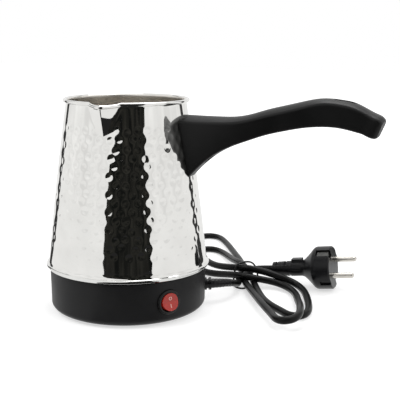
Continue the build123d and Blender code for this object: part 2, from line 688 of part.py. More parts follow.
# Switch housing: bezel, barrel, floor with blade slots, pivot pockets and snap ears.
SWITCH_PLANE = radial_plane(SWITCH_SEAT_R, SWITCH_ANGLE, SWITCH_Z)
BLADE_YS = (-CONTACT_Y, 0.0, CONTACT_Y)
UP = (Align.CENTER, Align.CENTER, Align.MIN)
with BuildPart(SWITCH_PLANE) as switch_housing:
    with BuildSketch(SWITCH_PLANE):
        Circle(BEZEL_R)
    extrude(amount=BEZEL_T)
    front = SWITCH_PLANE.from_local_coords((0, 0, 40))
    fillet(switch_housing.edges().filter_by(GeomType.CIRCLE).sort_by_distance(front)[0], radius=0.9)
    with BuildSketch(SWITCH_PLANE.offset(-BARREL_DEPTH)):
        Circle(BARREL_R)
    extrude(amount=BARREL_DEPTH)
    with BuildSketch(SWITCH_PLANE.offset(-BARREL_DEPTH + 6)):
        with Locations((BARREL_R, 0), (-BARREL_R, 0)):
            Rectangle(1.4, 3)
    extrude(amount=4, taper=6)
    with BuildSketch(SWITCH_PLANE.offset(-BARREL_DEPTH + BARREL_FLOOR)):
        Circle(WINDOW_R)
    extrude(amount=BARREL_DEPTH + BEZEL_T, mode=Mode.SUBTRACT)
    with BuildSketch(SWITCH_PLANE.offset(-BARREL_DEPTH)):
        with Locations(*[(0, y) for y in BLADE_YS]):
            Rectangle(SWITCH_BLADE_W, SWITCH_BLADE_T)
    extrude(amount=BARREL_FLOOR, mode=Mode.SUBTRACT)
    with Locations(Location((0, 0, 0), (0, 90, 0))):
        pocket_half = TRUNNION_HALF + 0.1
        Cylinder(TRUNNION_R + PIVOT_CLEARANCE, 2 * pocket_half, mode=Mode.SUBTRACT)
switch_housing.part.label = "switch_housing"
export_step(switch_housing.part, "parts/switch_housing.step")

# Rocker: dished round button with two trunnions and a bored stem, off side pressed.
ROCKER_PLANE = tipped(SWITCH_PLANE, -ROCKER_TILT)
STEM_R = 2.2
STEM_END = -7.0
STEM_BORE_R = 1.3
STEM_BORE_TOP = -1.6
PLUNGER_TIP = -9.65
PLUNGER_R = 1.2
PLUNGER_TOP = -4.6
with BuildPart(ROCKER_PLANE) as rocker:
    with BuildSketch(ROCKER_PLANE.offset(-ROCKER_BACK)):
        Circle(ROCKER_R)
    extrude(amount=ROCKER_BACK + ROCKER_FRONT)
    front = ROCKER_PLANE.from_local_coords((0, 0, 40))
    fillet(rocker.edges().filter_by(GeomType.CIRCLE).sort_by_distance(front)[0], radius=0.6)
    with Locations(Location((0, 0, 0), (0, 90, 0))):
        Cylinder(TRUNNION_R, 2 * TRUNNION_HALF)
    with BuildSketch(ROCKER_PLANE.offset(STEM_END)):
        Circle(STEM_R)
    extrude(amount=-STEM_END - 1)
    with BuildSketch(ROCKER_PLANE.offset(STEM_END)):
        Circle(STEM_BORE_R)
    extrude(amount=STEM_BORE_TOP - STEM_END, mode=Mode.SUBTRACT)
    dish_plane = Plane(
        origin=ROCKER_PLANE.from_local_coords((-12, 0, 0)),
        x_dir=ROCKER_PLANE.y_dir,
        z_dir=ROCKER_PLANE.x_dir,
    )
    with BuildSketch(dish_plane):
        with BuildLine():
            Polyline(
                (-ROCKER_R - 1, ROCKER_FRONT + 0.02),
                (0, ROCKER_FRONT - ROCKER_DISH),
                (ROCKER_R + 1, ROCKER_FRONT + 0.02),
                (ROCKER_R + 1, ROCKER_FRONT + 3),
                (-ROCKER_R - 1, ROCKER_FRONT + 3),
                close=True,
            )
        make_face()
    extrude(amount=24, mode=Mode.SUBTRACT)
rocker.part.label = "rocker"
export_step(rocker.part, "parts/rocker.step")

# Switch plunger and its spring, inside the stem.
with BuildPart(ROCKER_PLANE) as switch_plunger:
    with BuildSketch(ROCKER_PLANE.offset(PLUNGER_TIP + PLUNGER_R)):
        Circle(PLUNGER_R)
    extrude(amount=PLUNGER_TOP - PLUNGER_TIP - PLUNGER_R)
    with Locations(Location((0, 0, PLUNGER_TIP + PLUNGER_R))):
        Sphere(PLUNGER_R)
switch_plunger.part.label = "switch_plunger"
export_step(switch_plunger.part, "parts/switch_plunger.step")

SPRING_WIRE_R = 0.15
SPRING_R = 1.0
with BuildPart() as plunger_spring:
    spring_length = STEM_BORE_TOP - PLUNGER_TOP - 2 * SPRING_WIRE_R - 0.1
    spring_start = PLUNGER_TOP + SPRING_WIRE_R + 0.05
    coil = Helix(pitch=spring_length / 4, height=spring_length, radius=SPRING_R, mode=Mode.PRIVATE)
    placed_coil = ROCKER_PLANE.offset(spring_start).location * coil
    with BuildSketch(Plane(origin=placed_coil @ 0, z_dir=placed_coil % 0)):
        Circle(SPRING_WIRE_R)
    sweep(path=placed_coil, is_frenet=True)
plunger_spring.part.label = "plunger_spring"
export_step(plunger_spring.part, "parts/plunger_spring.step")

# Contact lever: see-saw strip with a silver contact under its load end, tipped off.
LEVER_PLANE = tipped(SWITCH_PLANE.offset(LEVER_Z), LEVER_TILT)
with BuildPart(LEVER_PLANE) as contact_lever:
    Box(LEVER_W, 2 * LEVER_HALF, LEVER_T)
    with Locations((0, CONTACT_Y, -LEVER_T / 2 - 0.125)):
        Cylinder(1.1, 0.25)
contact_lever.part.label = "contact_lever"
export_step(contact_lever.part, "parts/contact_lever.step")

# Switch terminals: common under the lever's pivot, load under its contact, lamp opposite.
FLOOR_Z = -BARREL_DEPTH + BARREL_FLOOR
with BuildPart(SWITCH_PLANE) as terminal_common:
    post_top = LEVER_Z - LEVER_T / 2 - 0.35
    with Locations((0, 0, SWITCH_BLADE_END)):
        Box(SWITCH_BLADE_W, SWITCH_BLADE_T, post_top - SWITCH_BLADE_END, align=UP)
    ear_x = LEVER_W / 2 + 0.45
    with Locations((ear_x, 0, post_top - 0.1), (-ear_x, 0, post_top - 0.1)):
        Box(0.3, SWITCH_BLADE_T, 1.4, align=UP)
terminal_common.part.label = "terminal_common"
export_step(terminal_common.part, "parts/terminal_common.step")

with BuildPart(SWITCH_PLANE) as terminal_load:
    with Locations((0, CONTACT_Y, SWITCH_BLADE_END)):
        Box(SWITCH_BLADE_W, SWITCH_BLADE_T, FLOOR_Z - SWITCH_BLADE_END, align=UP)
    with Locations((0, CONTACT_Y, FLOOR_Z)):
        Box(SWITCH_BLADE_W, 2.4, 0.5, align=UP)
terminal_load.part.label = "terminal_load"
export_step(terminal_load.part, "parts/terminal_load.step")

with BuildPart(SWITCH_PLANE) as terminal_lamp:
    with Locations((0, -CONTACT_Y, SWITCH_BLADE_END)):
        Box(SWITCH_BLADE_W, SWITCH_BLADE_T, FLOOR_Z + 0.3 - SWITCH_BLADE_END, align=UP)
terminal_lamp.part.label = "terminal_lamp"
export_step(terminal_lamp.part, "parts/terminal_lamp.step")

# Switch lamp: small neon beside the lever.
with BuildPart(SWITCH_PLANE) as switch_lamp:
    with Locations((4.5, 0, FLOOR_Z)):
        Cylinder(1.4, 5.5, align=UP)
    with Locations((4.5, 0, FLOOR_Z + 5.5)):
        Sphere(1.4)
switch_lamp.part.label = "switch_lamp"
export_step(switch_lamp.part, "parts/switch_lamp.step")


# Wiring: insulated cores from the cord's end, with push-on sleeves on the blades and pins.
def core_start(tangential, height):
    """Point on the cord's cut end, off its axis."""
    return tuple(radial_plane(CORD_END_R, CORD_ANGLE, CORD_Z).from_local_coords((tangential, height, 0)))


def core_turn(tangential, height, radius):
    """Point inwards of the cord's end on the same core."""
    return tuple(radial_plane(radius, CORD_ANGLE, CORD_Z).from_local_coords((tangential, height, 0)))


def switch_point(y, depth):
    """Point behind one of the switch's blades."""
    return tuple(SWITCH_PLANE.from_local_coords((0, y, -depth)))


SLEEVE_END = -SWITCH_BLADE_END + 1.0


def switch_sleeve(y):
    """Push-on sleeve on one of the switch's blades."""
    with BuildPart(SWITCH_PLANE) as sleeve:
        with Locations((0, y, -SLEEVE_END)):
            Box(5.6, 2.6, 7, align=UP)
        with Locations((0, y, SWITCH_BLADE_END)):
            Box(SWITCH_BLADE_W, SWITCH_BLADE_T, 10, align=UP, mode=Mode.SUBTRACT)
    return sleeve.part


def blade_sleeve(x, low_z, top_z):
    """Push-on sleeve on an upright blade."""
    with BuildPart() as sleeve:
        with Locations((x, 0, low_z)):
            Box(2.8, BLADE_W + 1.4, top_z - low_z, align=UP)
        with Locations((x, 0, low_z + 1.2)):
            Box(BLADE_T, BLADE_W, top_z - low_z, align=UP, mode=Mode.SUBTRACT)
    return sleeve.part


def pin_sleeve(point):
    """Push-on sleeve on a cold pin."""
    with BuildPart() as sleeve:
        with Locations((*point, PIN_LOW_Z - 1)):
            Box(4.6, 4.6, 6, align=UP)
        with Locations((*point, PIN_LOW_Z)):
            Cylinder(PIN_R, 10, align=UP, mode=Mode.SUBTRACT)
    return sleeve.part


SLEEVE_LOW_Z = BLADE_LOW_Z - 1.2
SLEEVE_TOP_Z = SHIELD_LOW_Z - 0.5
LOW_RUN_Z = COVER_TOP_Z + 4.3
MID_RUN_Z = SLEEVE_LOW_Z - 6.5
PLUS_PIN, MINUS_PIN = sorted(PIN_POINTS, key=lambda point: -point[1])

with BuildPart() as live_wire:
    add(switch_sleeve(0.0))
    add(
        tube(
            (
                core_start(-1.25, 0.75),
                core_turn(-1.25, 0.75, CORD_END_R - 5.5),
                polar(STUD_RING_R + 2.5, 1, 9.5),
                switch_point(0.0, SLEEVE_END + 6.5),
                switch_point(0.0, SLEEVE_END - 0.5),
            ),
            2.4,
            WIRE_R,
        )
    )
live_wire.part.label = "live_wire"
export_step(live_wire.part, "parts/live_wire.step")

with BuildPart() as switched_wire:
    add(switch_sleeve(CONTACT_Y))
    add(blade_sleeve(BLADE_X, SLEEVE_LOW_Z, SLEEVE_TOP_Z))
    add(
        tube(
            (
                switch_point(CONTACT_Y, SLEEVE_END - 0.5),
                switch_point(CONTACT_Y, SLEEVE_END + 6.5),
                polar(21, SWITCH_ANGLE, MID_RUN_Z + 3),
                (BLADE_X, 0, MID_RUN_Z),
                (BLADE_X, 0, SLEEVE_LOW_Z + 0.5),
            ),
            2.4,
            WIRE_R,
        )
    )
switched_wire.part.label = "switched_wire"
export_step(switched_wire.part, "parts/switched_wire.step")

with BuildPart() as link_wires:
    add(blade_sleeve(-BLADE_X, SLEEVE_LOW_Z, SLEEVE_TOP_Z))
    add(
        tube(
            (
                (-BLADE_X, 0, SLEEVE_LOW_Z + 0.5),
                (-BLADE_X, 0, MID_RUN_Z + 1),
                (FUSE_X, -FUSE_LEAD_Y, MID_RUN_Z + 1),
                (FUSE_X, -FUSE_LEAD_Y, FUSE_LEAD_Z),
            ),
            2.4,
            WIRE_R,
        )
    )
    add(pin_sleeve(PLUS_PIN))
    add(
        tube(
            (
                (FUSE_X, FUSE_LEAD_Y, FUSE_LEAD_Z),
                (FUSE_X, FUSE_LEAD_Y, LOW_RUN_Z + 1),
                (*PLUS_PIN, LOW_RUN_Z + 1),
                (*PLUS_PIN, PIN_LOW_Z - 0.5),
            ),
            2.0,
            WIRE_R,
        )
    )
link_wires.part.label = "link_wires"
export_step(link_wires.part, "parts/link_wires.step")

with BuildPart() as neutral_wire:
    add(pin_sleeve(MINUS_PIN))
    add(
        tube(
            (
                core_start(1.25, 0.75),
                core_turn(1.25, 0.75, CORD_END_R - 5.0),
                (20, 10, LOW_RUN_Z),
                (*MINUS_PIN, LOW_RUN_Z),
                (*MINUS_PIN, PIN_LOW_Z - 0.5),
            ),
            2.4,
            WIRE_R,
        )
    )
neutral_wire.part.label = "neutral_wire"
export_step(neutral_wire.part, "parts/neutral_wire.step")

with BuildPart() as lamp_wire:
    add(switch_sleeve(-CONTACT_Y))
    add(
        tube(
            (
                switch_point(-CONTACT_Y, SLEEVE_END - 0.5),
                switch_point(-CONTACT_Y, SLEEVE_END + 6.5),
                (0, -24, LOW_RUN_Z + 2),
                (MINUS_PIN[0], MINUS_PIN[1] - 13, LOW_RUN_Z + 4),
                (MINUS_PIN[0], MINUS_PIN[1] - 2.3, PIN_LOW_Z + 1),
            ),
            2.4,
            WIRE_R,
        )
    )
lamp_wire.part.label = "lamp_wire"
export_step(lamp_wire.part, "parts/lamp_wire.step")

with BuildPart() as earth_wire:
    add(blade_sleeve(EARTH_X + BLADE_T / 2, EARTH_LOW_Z - 1.2, SLEEVE_TOP_Z))
    add(
        tube(
            (
                core_start(0.0, -1.4),
                core_turn(0.0, -1.4, CORD_END_R - 5.0),
                (28, 4, MID_RUN_Z),
                (EARTH_X + BLADE_T / 2, 0, MID_RUN_Z),
                (EARTH_X + BLADE_T / 2, 0, EARTH_LOW_Z - 0.7),
            ),
            2.4,
            WIRE_R,
        )
    )
earth_wire.part.label = "earth_wire"
export_step(earth_wire.part, "parts/earth_wire.step")

# Handle bracket: saddle on the pot's wall with a tongue.
with BuildPart() as handle_bracket:
    add(pot_solid(BRACKET_T))
    add(pot_solid(0), mode=Mode.SUBTRACT)
    with Locations(Location((0, 0, (BRACKET_LOW_Z + BRACKET_TOP_Z) / 2))):
        Box(
            120,
            2 * TONGUE_HALF,
            BRACKET_TOP_Z - BRACKET_LOW_Z,
            align=(Align.MIN, Align.CENTER, Align.CENTER),
            mode=Mode.INTERSECT,
        )
    tongue_start = wall_r(TONGUE_Z) + BRACKET_T / 2
    with Locations(Location((tongue_start, 0, TONGUE_Z))):
        Box(
            TONGUE_END_X - tongue_start,
            2 * TONGUE_HALF,
            TONGUE_T,
            align=(Align.MIN, Align.CENTER, Align.MIN),
        )
    with Locations(Location((HANDLE_SCREW_X, 0, TONGUE_Z))):
        Cylinder(HANDLE_SCREW_R + 0.05, 3 * TONGUE_T, mode=Mode.SUBTRACT)
handle_bracket.part.label = "handle_bracket"
export_step(handle_bracket.part, "parts/handle_bracket.step")

# Room for the saddle in the handle's root.
with BuildPart() as handle_pocket:
    add(pot_solid(BRACKET_T + 0.3))
    with Locations(Location((0, 0, (BRACKET_LOW_Z + BRACKET_TOP_Z) / 2))):
        Box(
            120,
            2 * TONGUE_HALF + 0.6,
            BRACKET_TOP_Z - BRACKET_LOW_Z + 1,
            align=(Align.MIN, Align.CENTER, Align.CENTER),
            mode=Mode.INTERSECT,
        )

# Handle: crowned arch lofted through its sections, cut to the pot's wall.
SCREW_SEAT_Z = TONGUE_Z - 7.0
slant = radians(HANDLE_END_SLANT)


def end_height(column, depth):
    """Height along the slanted end plane, at a depth behind the end, of one of the handle's lines."""
    last = HANDLE_SECTIONS[-1]
    slope = (HANDLE_TAIL[column] - last[column]) / (HANDLE_TAIL[0] - last[0])
    plane_x = HANDLE_END_X - depth * cos(slant)
    plane_z = HANDLE_END_Z + depth * sin(slant)
    rise = last[column] + slope * (plane_x - last[0]) - plane_z
    return rise / (cos(slant) - slope * sin(slant))


def handle_section(plane, low, side, crest, inset=0.0):
    """One closed section across the handle."""
    top_half = HANDLE_TOP_HALF - inset
    low_half = HANDLE_LOW_HALF - inset
    with BuildSketch(plane) as section:
        with BuildLine():
            Line((-top_half, side), (-low_half, low))
            Line((-low_half, low), (low_half, low))
            Line((low_half, low), (top_half, side))
            ThreePointArc((top_half, side), (0, crest), (-top_half, side))
        make_face()
        fillet(section.vertices(), radius=HANDLE_EDGE_R)
    return section.sketch


with BuildPart() as handle:
    for x, low, side, crest in HANDLE_SECTIONS:
        upright = Plane(origin=(x, 0, 0), x_dir=(0, 1, 0), z_dir=(1, 0, 0))
        add(handle_section(upright, low, side, crest))
    for depth, inset in HANDLE_END_ROUNDING:
        leaning = Plane(
            origin=(HANDLE_END_X - depth * cos(slant), 0, HANDLE_END_Z + depth * sin(slant)),
            x_dir=(0, 1, 0),
            z_dir=(cos(slant), 0, -sin(slant)),
        )
        low, side, crest = (end_height(column, depth) for column in (1, 2, 3))
        add(handle_section(leaning, low + inset, side - inset * 0.8, crest - inset, inset))
    loft()
    add(pot_solid(HANDLE_GAP), mode=Mode.SUBTRACT)
    with BuildSketch(Plane.XY.offset(HANDLE_END_Z - 20)):
        with Locations((SLOT_X, 0)):
            SlotOverall(SLOT_LENGTH, SLOT_WIDTH)
    extrude(amount=50, mode=Mode.SUBTRACT)
    with Locations(Location((0, 0, TONGUE_Z - 0.3))):
        Box(
            TONGUE_END_X + 0.6,
            2 * TONGUE_HALF + 0.6,
            TONGUE_T + 0.6,
            align=(Align.MIN, Align.CENTER, Align.MIN),
            mode=Mode.SUBTRACT,
        )
    with Locations(Location((HANDLE_SCREW_X, 0, SCREW_SEAT_Z))):
        Cylinder(4.2, 60, align=(Align.CENTER, Align.CENTER, Align.MAX), mode=Mode.SUBTRACT)
        Cylinder(HANDLE_SCREW_R + 0.2, 16, align=UP, mode=Mode.SUBTRACT)
    add(handle_pocket.part, mode=Mode.SUBTRACT)
handle.part.label = "handle"
export_step(handle.part, "parts/handle.step")

# Handle screw.
with BuildPart() as handle_screw:
    with Locations(Location((HANDLE_SCREW_X, 0, SCREW_SEAT_Z))):
        Cylinder(3.8, 2.6, align=(Align.CENTER, Align.CENTER, Align.MAX))
        Cylinder(HANDLE_SCREW_R, 15, align=UP)
    with Locations(Location((HANDLE_SCREW_X, 0, SCREW_SEAT_Z - 2.6))):
        Box(4.6, 0.9, 2.4, mode=Mode.SUBTRACT)
        Box(0.9, 4.6, 2.4, mode=Mode.SUBTRACT)
handle_screw.part.label = "handle_screw"
export_step(handle_screw.part, "parts/handle_screw.step")

# Mains cord, base to hank: level through the bush, one bend, then down into the bundle.
LEAD_CORNER_R = BUSH_TIP_R + 15.5
LEAD_BEND = 20.0
with BuildPart() as cord_lead:
    add(
        tube(
            (
                polar(CORD_END_R, CORD_ANGLE, CORD_Z),
                polar(LEAD_CORNER_R, CORD_ANGLE, CORD_Z),
                (TIE_X, TIE_Y - 3, CORD_Z - 5),
            ),
            LEAD_BEND,
            CORD_R,
        )
    )
print("cord lead bend", LEAD_BEND)
cord_lead.part.label = "cord_lead"
export_step(cord_lead.part, "parts/cord_lead.step")

# Cord hank: the tied loops as two flat bands that meet in the bundle.
FRONT_OUT = (
    (61, 76), (76, 66), (96, 41), (109, 18), (121, 2), (133, -8), (141, -4),
    (145.5, 10), (145.5, 27), (140, 53), (128, 78), (115, 88), (100, 92.5), (84, 95), (68, 92),
)
FRONT_IN = (
    (80, 80), (86, 66), (102, 45), (115, 22), (126, 9), (133, 6), (134, 14), (131, 28),
    (123, 50), (111, 67), (98, 78),
)
BACK_OUT = (
    (72, 90), (62, 122), (46, 152), (32, 177), (14, 211), (-9, 234), (-22, 226),
    (-19, 196), (-6, 158), (8, 128), (22, 103), (38, 86), (56, 76),
)
BACK_IN = (
    (56, 95), (52, 118), (36, 150), (20, 178), (4, 206), (-9, 218), (-10, 200),
    (2, 162), (16, 132), (30, 108), (44, 95),
)
BUNDLE_PLACE = Location((TIE_X, TIE_Y, 0), (0, 0, -35))
with BuildPart() as bundle:
    with BuildSketch(Plane.XY.offset(BUNDLE_LOW_Z)):
        with Locations(BUNDLE_PLACE):
            Ellipse(14, 9.5)
    extrude(amount=BUNDLE_H)
    fillet(bundle.edges().sort_by(Axis.Z)[-1], radius=4.0)
with BuildPart() as cord_hank:
    for outline, opening in ((FRONT_OUT, FRONT_IN), (BACK_OUT, BACK_IN)):
        with BuildSketch():
            with BuildLine():
                Spline(*outline, periodic=True)
            make_face()
        extrude(amount=HANK_H)
        with BuildSketch():
            with BuildLine():
                Spline(*opening, periodic=True)
            make_face()
        extrude(amount=HANK_H, mode=Mode.SUBTRACT)
    with BuildSketch():
        with Locations(BUNDLE_PLACE):
            Rectangle(2.8, 60)
    extrude(amount=40, mode=Mode.SUBTRACT)
    add(bundle.part)
cord_hank.part.label = "cord_hank"
export_step(cord_hank.part, "parts/cord_hank.step")

# Cord tie: flat ring round the bundle.
with BuildPart() as cord_tie:
    with BuildSketch():
        with Locations(BUNDLE_PLACE):
            Rectangle(2.2, 2 * (9.5 + TIE_T))
    extrude(amount=BUNDLE_LOW_Z + BUNDLE_H + TIE_T)
    add(bundle.part, mode=Mode.SUBTRACT)
cord_tie.part.label = "cord_tie"
export_step(cord_tie.part, "parts/cord_tie.step")

# Plug: its own frame has z along the pins, x along +Y and y up.
tilt = radians(PLUG_TILT)
PLUG_Z = PLUG_R * cos(tilt) + PLUG_BARREL * sin(tilt) + 0.05
PLUG_PLANE = Plane(origin=(PLUG_X, PLUG_Y, PLUG_Z), x_dir=(0, 1, 0), z_dir=(cos(tilt), 0, sin(tilt)))
roll = radians(PLUG_ROLL)
PIN_X = PLUG_PIN_PITCH / 2 * sin(roll)
PIN_Y = PLUG_PIN_PITCH / 2 * cos(roll)
PIN_ROOT = 8.0
with BuildPart(PLUG_PLANE) as plug_pins:
    with Locations((PIN_X, PIN_Y, -PIN_ROOT), (-PIN_X, -PIN_Y, -PIN_ROOT)):
        Cylinder(PLUG_PIN_R, PIN_ROOT + PLUG_PIN_LENGTH - PLUG_PIN_R, align=UP)
    tip = PLUG_PIN_LENGTH - PLUG_PIN_R
    with Locations((PIN_X, PIN_Y, tip), (-PIN_X, -PIN_Y, tip)):
        Sphere(PLUG_PIN_R)
plug_pins.part.label = "plug_pins"
export_step(plug_pins.part, "parts/plug_pins.step")

with BuildPart(PLUG_PLANE) as earth_contacts:
    for side in (0, 180):
        with Locations(Location((0, 0, 0), (0, 0, side - PLUG_ROLL))):
            with Locations((15.7, 0, -1.5)):
                Box(1.0, 6.0, PLUG_BARREL - 2.5, align=(Align.MIN, Align.CENTER, Align.MAX))
            with Locations((12.7, 0, -1.5)):
                Box(4.0, 6.0, 1.0, align=(Align.MIN, Align.CENTER, Align.MAX))
earth_contacts.part.label = "earth_contacts"
export_step(earth_contacts.part, "parts/earth_contacts.step")

TAIL_R = 6.0
RELIEF_START = 36.0
with BuildPart(PLUG_PLANE) as plug_shell:
    profile_plane = Plane(origin=PLUG_PLANE.origin, x_dir=PLUG_PLANE.y_dir, z_dir=PLUG_PLANE.x_dir)
    with BuildSketch(profile_plane):
        with BuildLine():
            Polyline((0, -PLUG_LENGTH), (0, 0), (PLUG_R - 1, 0), (PLUG_R, -1), (PLUG_R, -PLUG_BARREL))
            Spline(
                (PLUG_R, -PLUG_BARREL),
                (PLUG_R * 0.84, -PLUG_BARREL - PLUG_FLARE * 0.3),
                (PLUG_R * 0.49, -PLUG_BARREL - PLUG_FLARE * 0.67),
                (PLUG_NECK_R, -PLUG_BARREL - PLUG_FLARE),
                tangents=((0, -1), (0, -1)),
            )
            Polyline(
                (PLUG_NECK_R, -PLUG_BARREL - PLUG_FLARE),
                (PLUG_NECK_R, -RELIEF_START),
                (TAIL_R, -PLUG_LENGTH),
                (0, -PLUG_LENGTH),
            )
        make_face()
    revolve(axis=Axis(PLUG_PLANE.origin, PLUG_PLANE.z_dir))
    for slot in range(4):
        depth = RELIEF_START + 1.3 + slot * 3.9
        side = 1 if slot % 2 else -1
        with Locations((0, side * 3.6, -depth)):
            Box(
                20,
                8,
                1.8,
                align=(Align.CENTER, Align.MIN if side > 0 else Align.MAX, Align.MAX),
                mode=Mode.SUBTRACT,
            )
    with Locations((0, PLUG_NECK_R - 1, -PLUG_BARREL - PLUG_FLARE + 2)):
        Box(7, 3, 9, align=(Align.CENTER, Align.MIN, Align.MAX))
    for side in (0, 180):
        with Locations(Location((0, 0, 0), (0, 0, side - PLUG_ROLL))):
            with Locations((12.0, 0, 1)):
                Box(10, 7.0, PLUG_BARREL + 1, align=(Align.MIN, Align.CENTER, Align.MAX), mode=Mode.SUBTRACT)
        with Locations(Location((0, 0, 0), (0, 0, side + 90 - PLUG_ROLL))):
            with Locations((PLUG_R - 1.8, 0, 1)):
                Box(10, 5.0, PLUG_BARREL - 2, align=(Align.MIN, Align.CENTER, Align.MAX), mode=Mode.SUBTRACT)
    for side in (0, 180):
        with Locations(Location((0, 0, 0), (0, 0, side - PLUG_ROLL))):
            with Locations((12.0, 0, -1.5)):
                Box(3.7, 7.0, PLUG_BARREL - 1.5, align=(Align.MIN, Align.CENTER, Align.MAX))
with BuildPart() as plug_body:
    add(plug_shell.part)
    add(earth_contacts.part, mode=Mode.SUBTRACT)
    add(plug_pins.part, mode=Mode.SUBTRACT)
plug_body.part.label = "plug_body"
export_step(plug_body.part, "parts/plug_body.step")

# Mains cord, hank to plug.
PLUG_BEND = 24.0
with BuildPart() as plug_lead:
    tail = PLUG_PLANE.from_local_coords((0, 0, -PLUG_LENGTH))
    turn = PLUG_PLANE.from_local_coords((0, 0, -PLUG_LENGTH - 13))
    add(tube((tuple(tail), tuple(turn), (TIE_X - 3.7, TIE_Y + 8.7, CORD_Z - 4)), PLUG_BEND, CORD_R))
print("plug lead bend", PLUG_BEND)
plug_lead.part.label = "plug_lead"
export_step(plug_lead.part, "parts/plug_lead.step")
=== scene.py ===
import logging
import math
from dataclasses import dataclass, field
from enum import Enum
from typing import Any

import bpy
import numpy as np
from bpy.types import Material, Mesh, Node, NodeSocket, NodeTree, Object
from mathutils import Matrix, Vector


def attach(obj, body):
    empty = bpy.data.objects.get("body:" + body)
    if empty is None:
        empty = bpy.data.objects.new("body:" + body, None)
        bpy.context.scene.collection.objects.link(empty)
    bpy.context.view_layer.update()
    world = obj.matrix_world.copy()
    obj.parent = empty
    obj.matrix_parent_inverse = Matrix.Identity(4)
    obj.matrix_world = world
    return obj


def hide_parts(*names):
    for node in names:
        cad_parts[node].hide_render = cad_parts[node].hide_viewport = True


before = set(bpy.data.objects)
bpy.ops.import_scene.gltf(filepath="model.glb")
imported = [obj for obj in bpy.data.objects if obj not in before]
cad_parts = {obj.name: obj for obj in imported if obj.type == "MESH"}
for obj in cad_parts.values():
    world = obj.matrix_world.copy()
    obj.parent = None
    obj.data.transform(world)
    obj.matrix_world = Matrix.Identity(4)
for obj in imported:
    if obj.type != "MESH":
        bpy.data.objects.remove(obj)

logging.basicConfig(level=logging.INFO, format="%(message)s")
LOG = logging.getLogger("coffee_maker")
MM = 0.001

Color = tuple[float, float, float]
Point = tuple[float, float, float]
Point2 = tuple[float, float]
Faces = list[tuple[int, ...]]


class Grain(Enum):
    """Which way the fine marks of a finish run."""

    EVEN = "even"
    ROUND = "round the pot's axis"
    ALONG_X = "along the handle"


class Sheet:
    """A node tree that is built by short calls."""

    def __init__(self, tree: NodeTree) -> None:
        """Keeps the tree.

        Args:
            tree: the shader, world or geometry tree to build in.
        """
        self.tree = tree

    def add(self, kind: str, inputs: dict[Any, Any] | None = None, **settings: Any) -> Node:
        """Adds a node.

        Args:
            kind: the node's type.
            inputs: values or sockets for its inputs, by name or index.
            settings: the node's own settings.

        Returns:
            The new node.
        """
        node = self.tree.nodes.new(kind)
        for key, value in settings.items():
            setattr(node, key, value)
        for key, value in (inputs or {}).items():
            if isinstance(value, NodeSocket):
                self.tree.links.new(value, node.inputs[key])
            else:
                node.inputs[key].default_value = value
        return node

    def math(self, operation: str, a: Any, b: Any = 0.0) -> NodeSocket:
        """Adds a Math node and returns its result."""
        return self.add("ShaderNodeMath", {0: a, 1: b}, operation=operation).outputs[0]

    def plus(self, a: Any, b: Any) -> NodeSocket:
        """Adds two values."""
        return self.math("ADD", a, b)

    def minus(self, a: Any, b: Any) -> NodeSocket:
        """Takes one value from another."""
        return self.math("SUBTRACT", a, b)

    def times(self, a: Any, b: Any) -> NodeSocket:
        """Multiplies two values."""
        return self.math("MULTIPLY", a, b)

    def place(self) -> NodeSocket:
        """The Object coordinates, in metres."""
        return self.add("ShaderNodeTexCoord").outputs["Object"]

    def point(self, x: Any, y: Any, z: Any) -> NodeSocket:
        """Adds a Combine XYZ node and returns its vector."""
        return self.add("ShaderNodeCombineXYZ", {0: x, 1: y, 2: z}).outputs[0]

    def noise(self, vector: Any, scale: float, detail: float = 2.0, rough: float = 0.5) -> NodeSocket:
        """Adds a Noise Texture and returns its factor."""
        inputs = {"Vector": vector, "Scale": scale, "Detail": detail, "Roughness": rough}
        return self.add("ShaderNodeTexNoise", inputs).outputs["Fac"]

    def spread(self, value: Any, low: float, high: float) -> NodeSocket:
        """Maps the middle of a noise, 0.3 to 0.7, onto a range."""
        inputs = {"Value": value, "From Min": 0.3, "From Max": 0.7, "To Min": low, "To Max": high}
        return self.add("ShaderNodeMapRange", inputs).outputs[0]

    def blend(self, factor: Any, first: Color, second: Color) -> NodeSocket:
        """Mixes two colours by a factor."""
        inputs = {0: factor, 6: (*first, 1.0), 7: (*second, 1.0)}
        return self.add("ShaderNodeMix", inputs, data_type="RGBA").outputs[2]


def grain_vector(sheet: Sheet, grain: Grain) -> NodeSocket:
    """Coordinates for a finish's fine marks.

    Args:
        sheet: the material's tree.
        grain: the way that the marks run.

    Returns:
        A vector in metres that is stretched along the marks.
    """
    along_stretch, round_stretch = 0.04, 0.0012
    place = sheet.place()
    if grain is Grain.EVEN:
        return place
    x, y, z = sheet.add("ShaderNodeSeparateXYZ", {0: place}).outputs
    if grain is Grain.ALONG_X:
        return sheet.point(sheet.times(x, along_stretch), y, z)
    turn = sheet.math("ARCTAN2", y, x)
    squares = sheet.plus(sheet.math("POWER", x, 2.0), sheet.math("POWER", y, 2.0))
    return sheet.point(sheet.times(turn, round_stretch), sheet.math("SQRT", squares), z)


def start_material(name: str) -> tuple[Material, Sheet]:
    """Makes an empty material.

    Args:
        name: the material's name.

    Returns:
        The material and its tree.
    """
    material = bpy.data.materials.new(name)
    material.use_nodes = True
    material.node_tree.nodes.clear()
    return material, Sheet(material.node_tree)


@dataclass(frozen=True)
class Finish:
    """A finish that builds its own material."""

    name: str
    color: Color

    def surface(self, sheet: Sheet) -> dict[str, Any]:
        """The inputs of the surface shader, which each kind of finish gives for itself."""
        raise NotImplementedError(self.name)

    def build(self) -> Material:
        """Makes the material.

        Returns:
            The material, which ends in one surface shader.
        """
        material, sheet = start_material(self.name)
        shader = sheet.add("ShaderNodeBsdfPrincipled", self.surface(sheet))
        sheet.add("ShaderNodeOutputMaterial", {0: shader.outputs[0]})
        return material


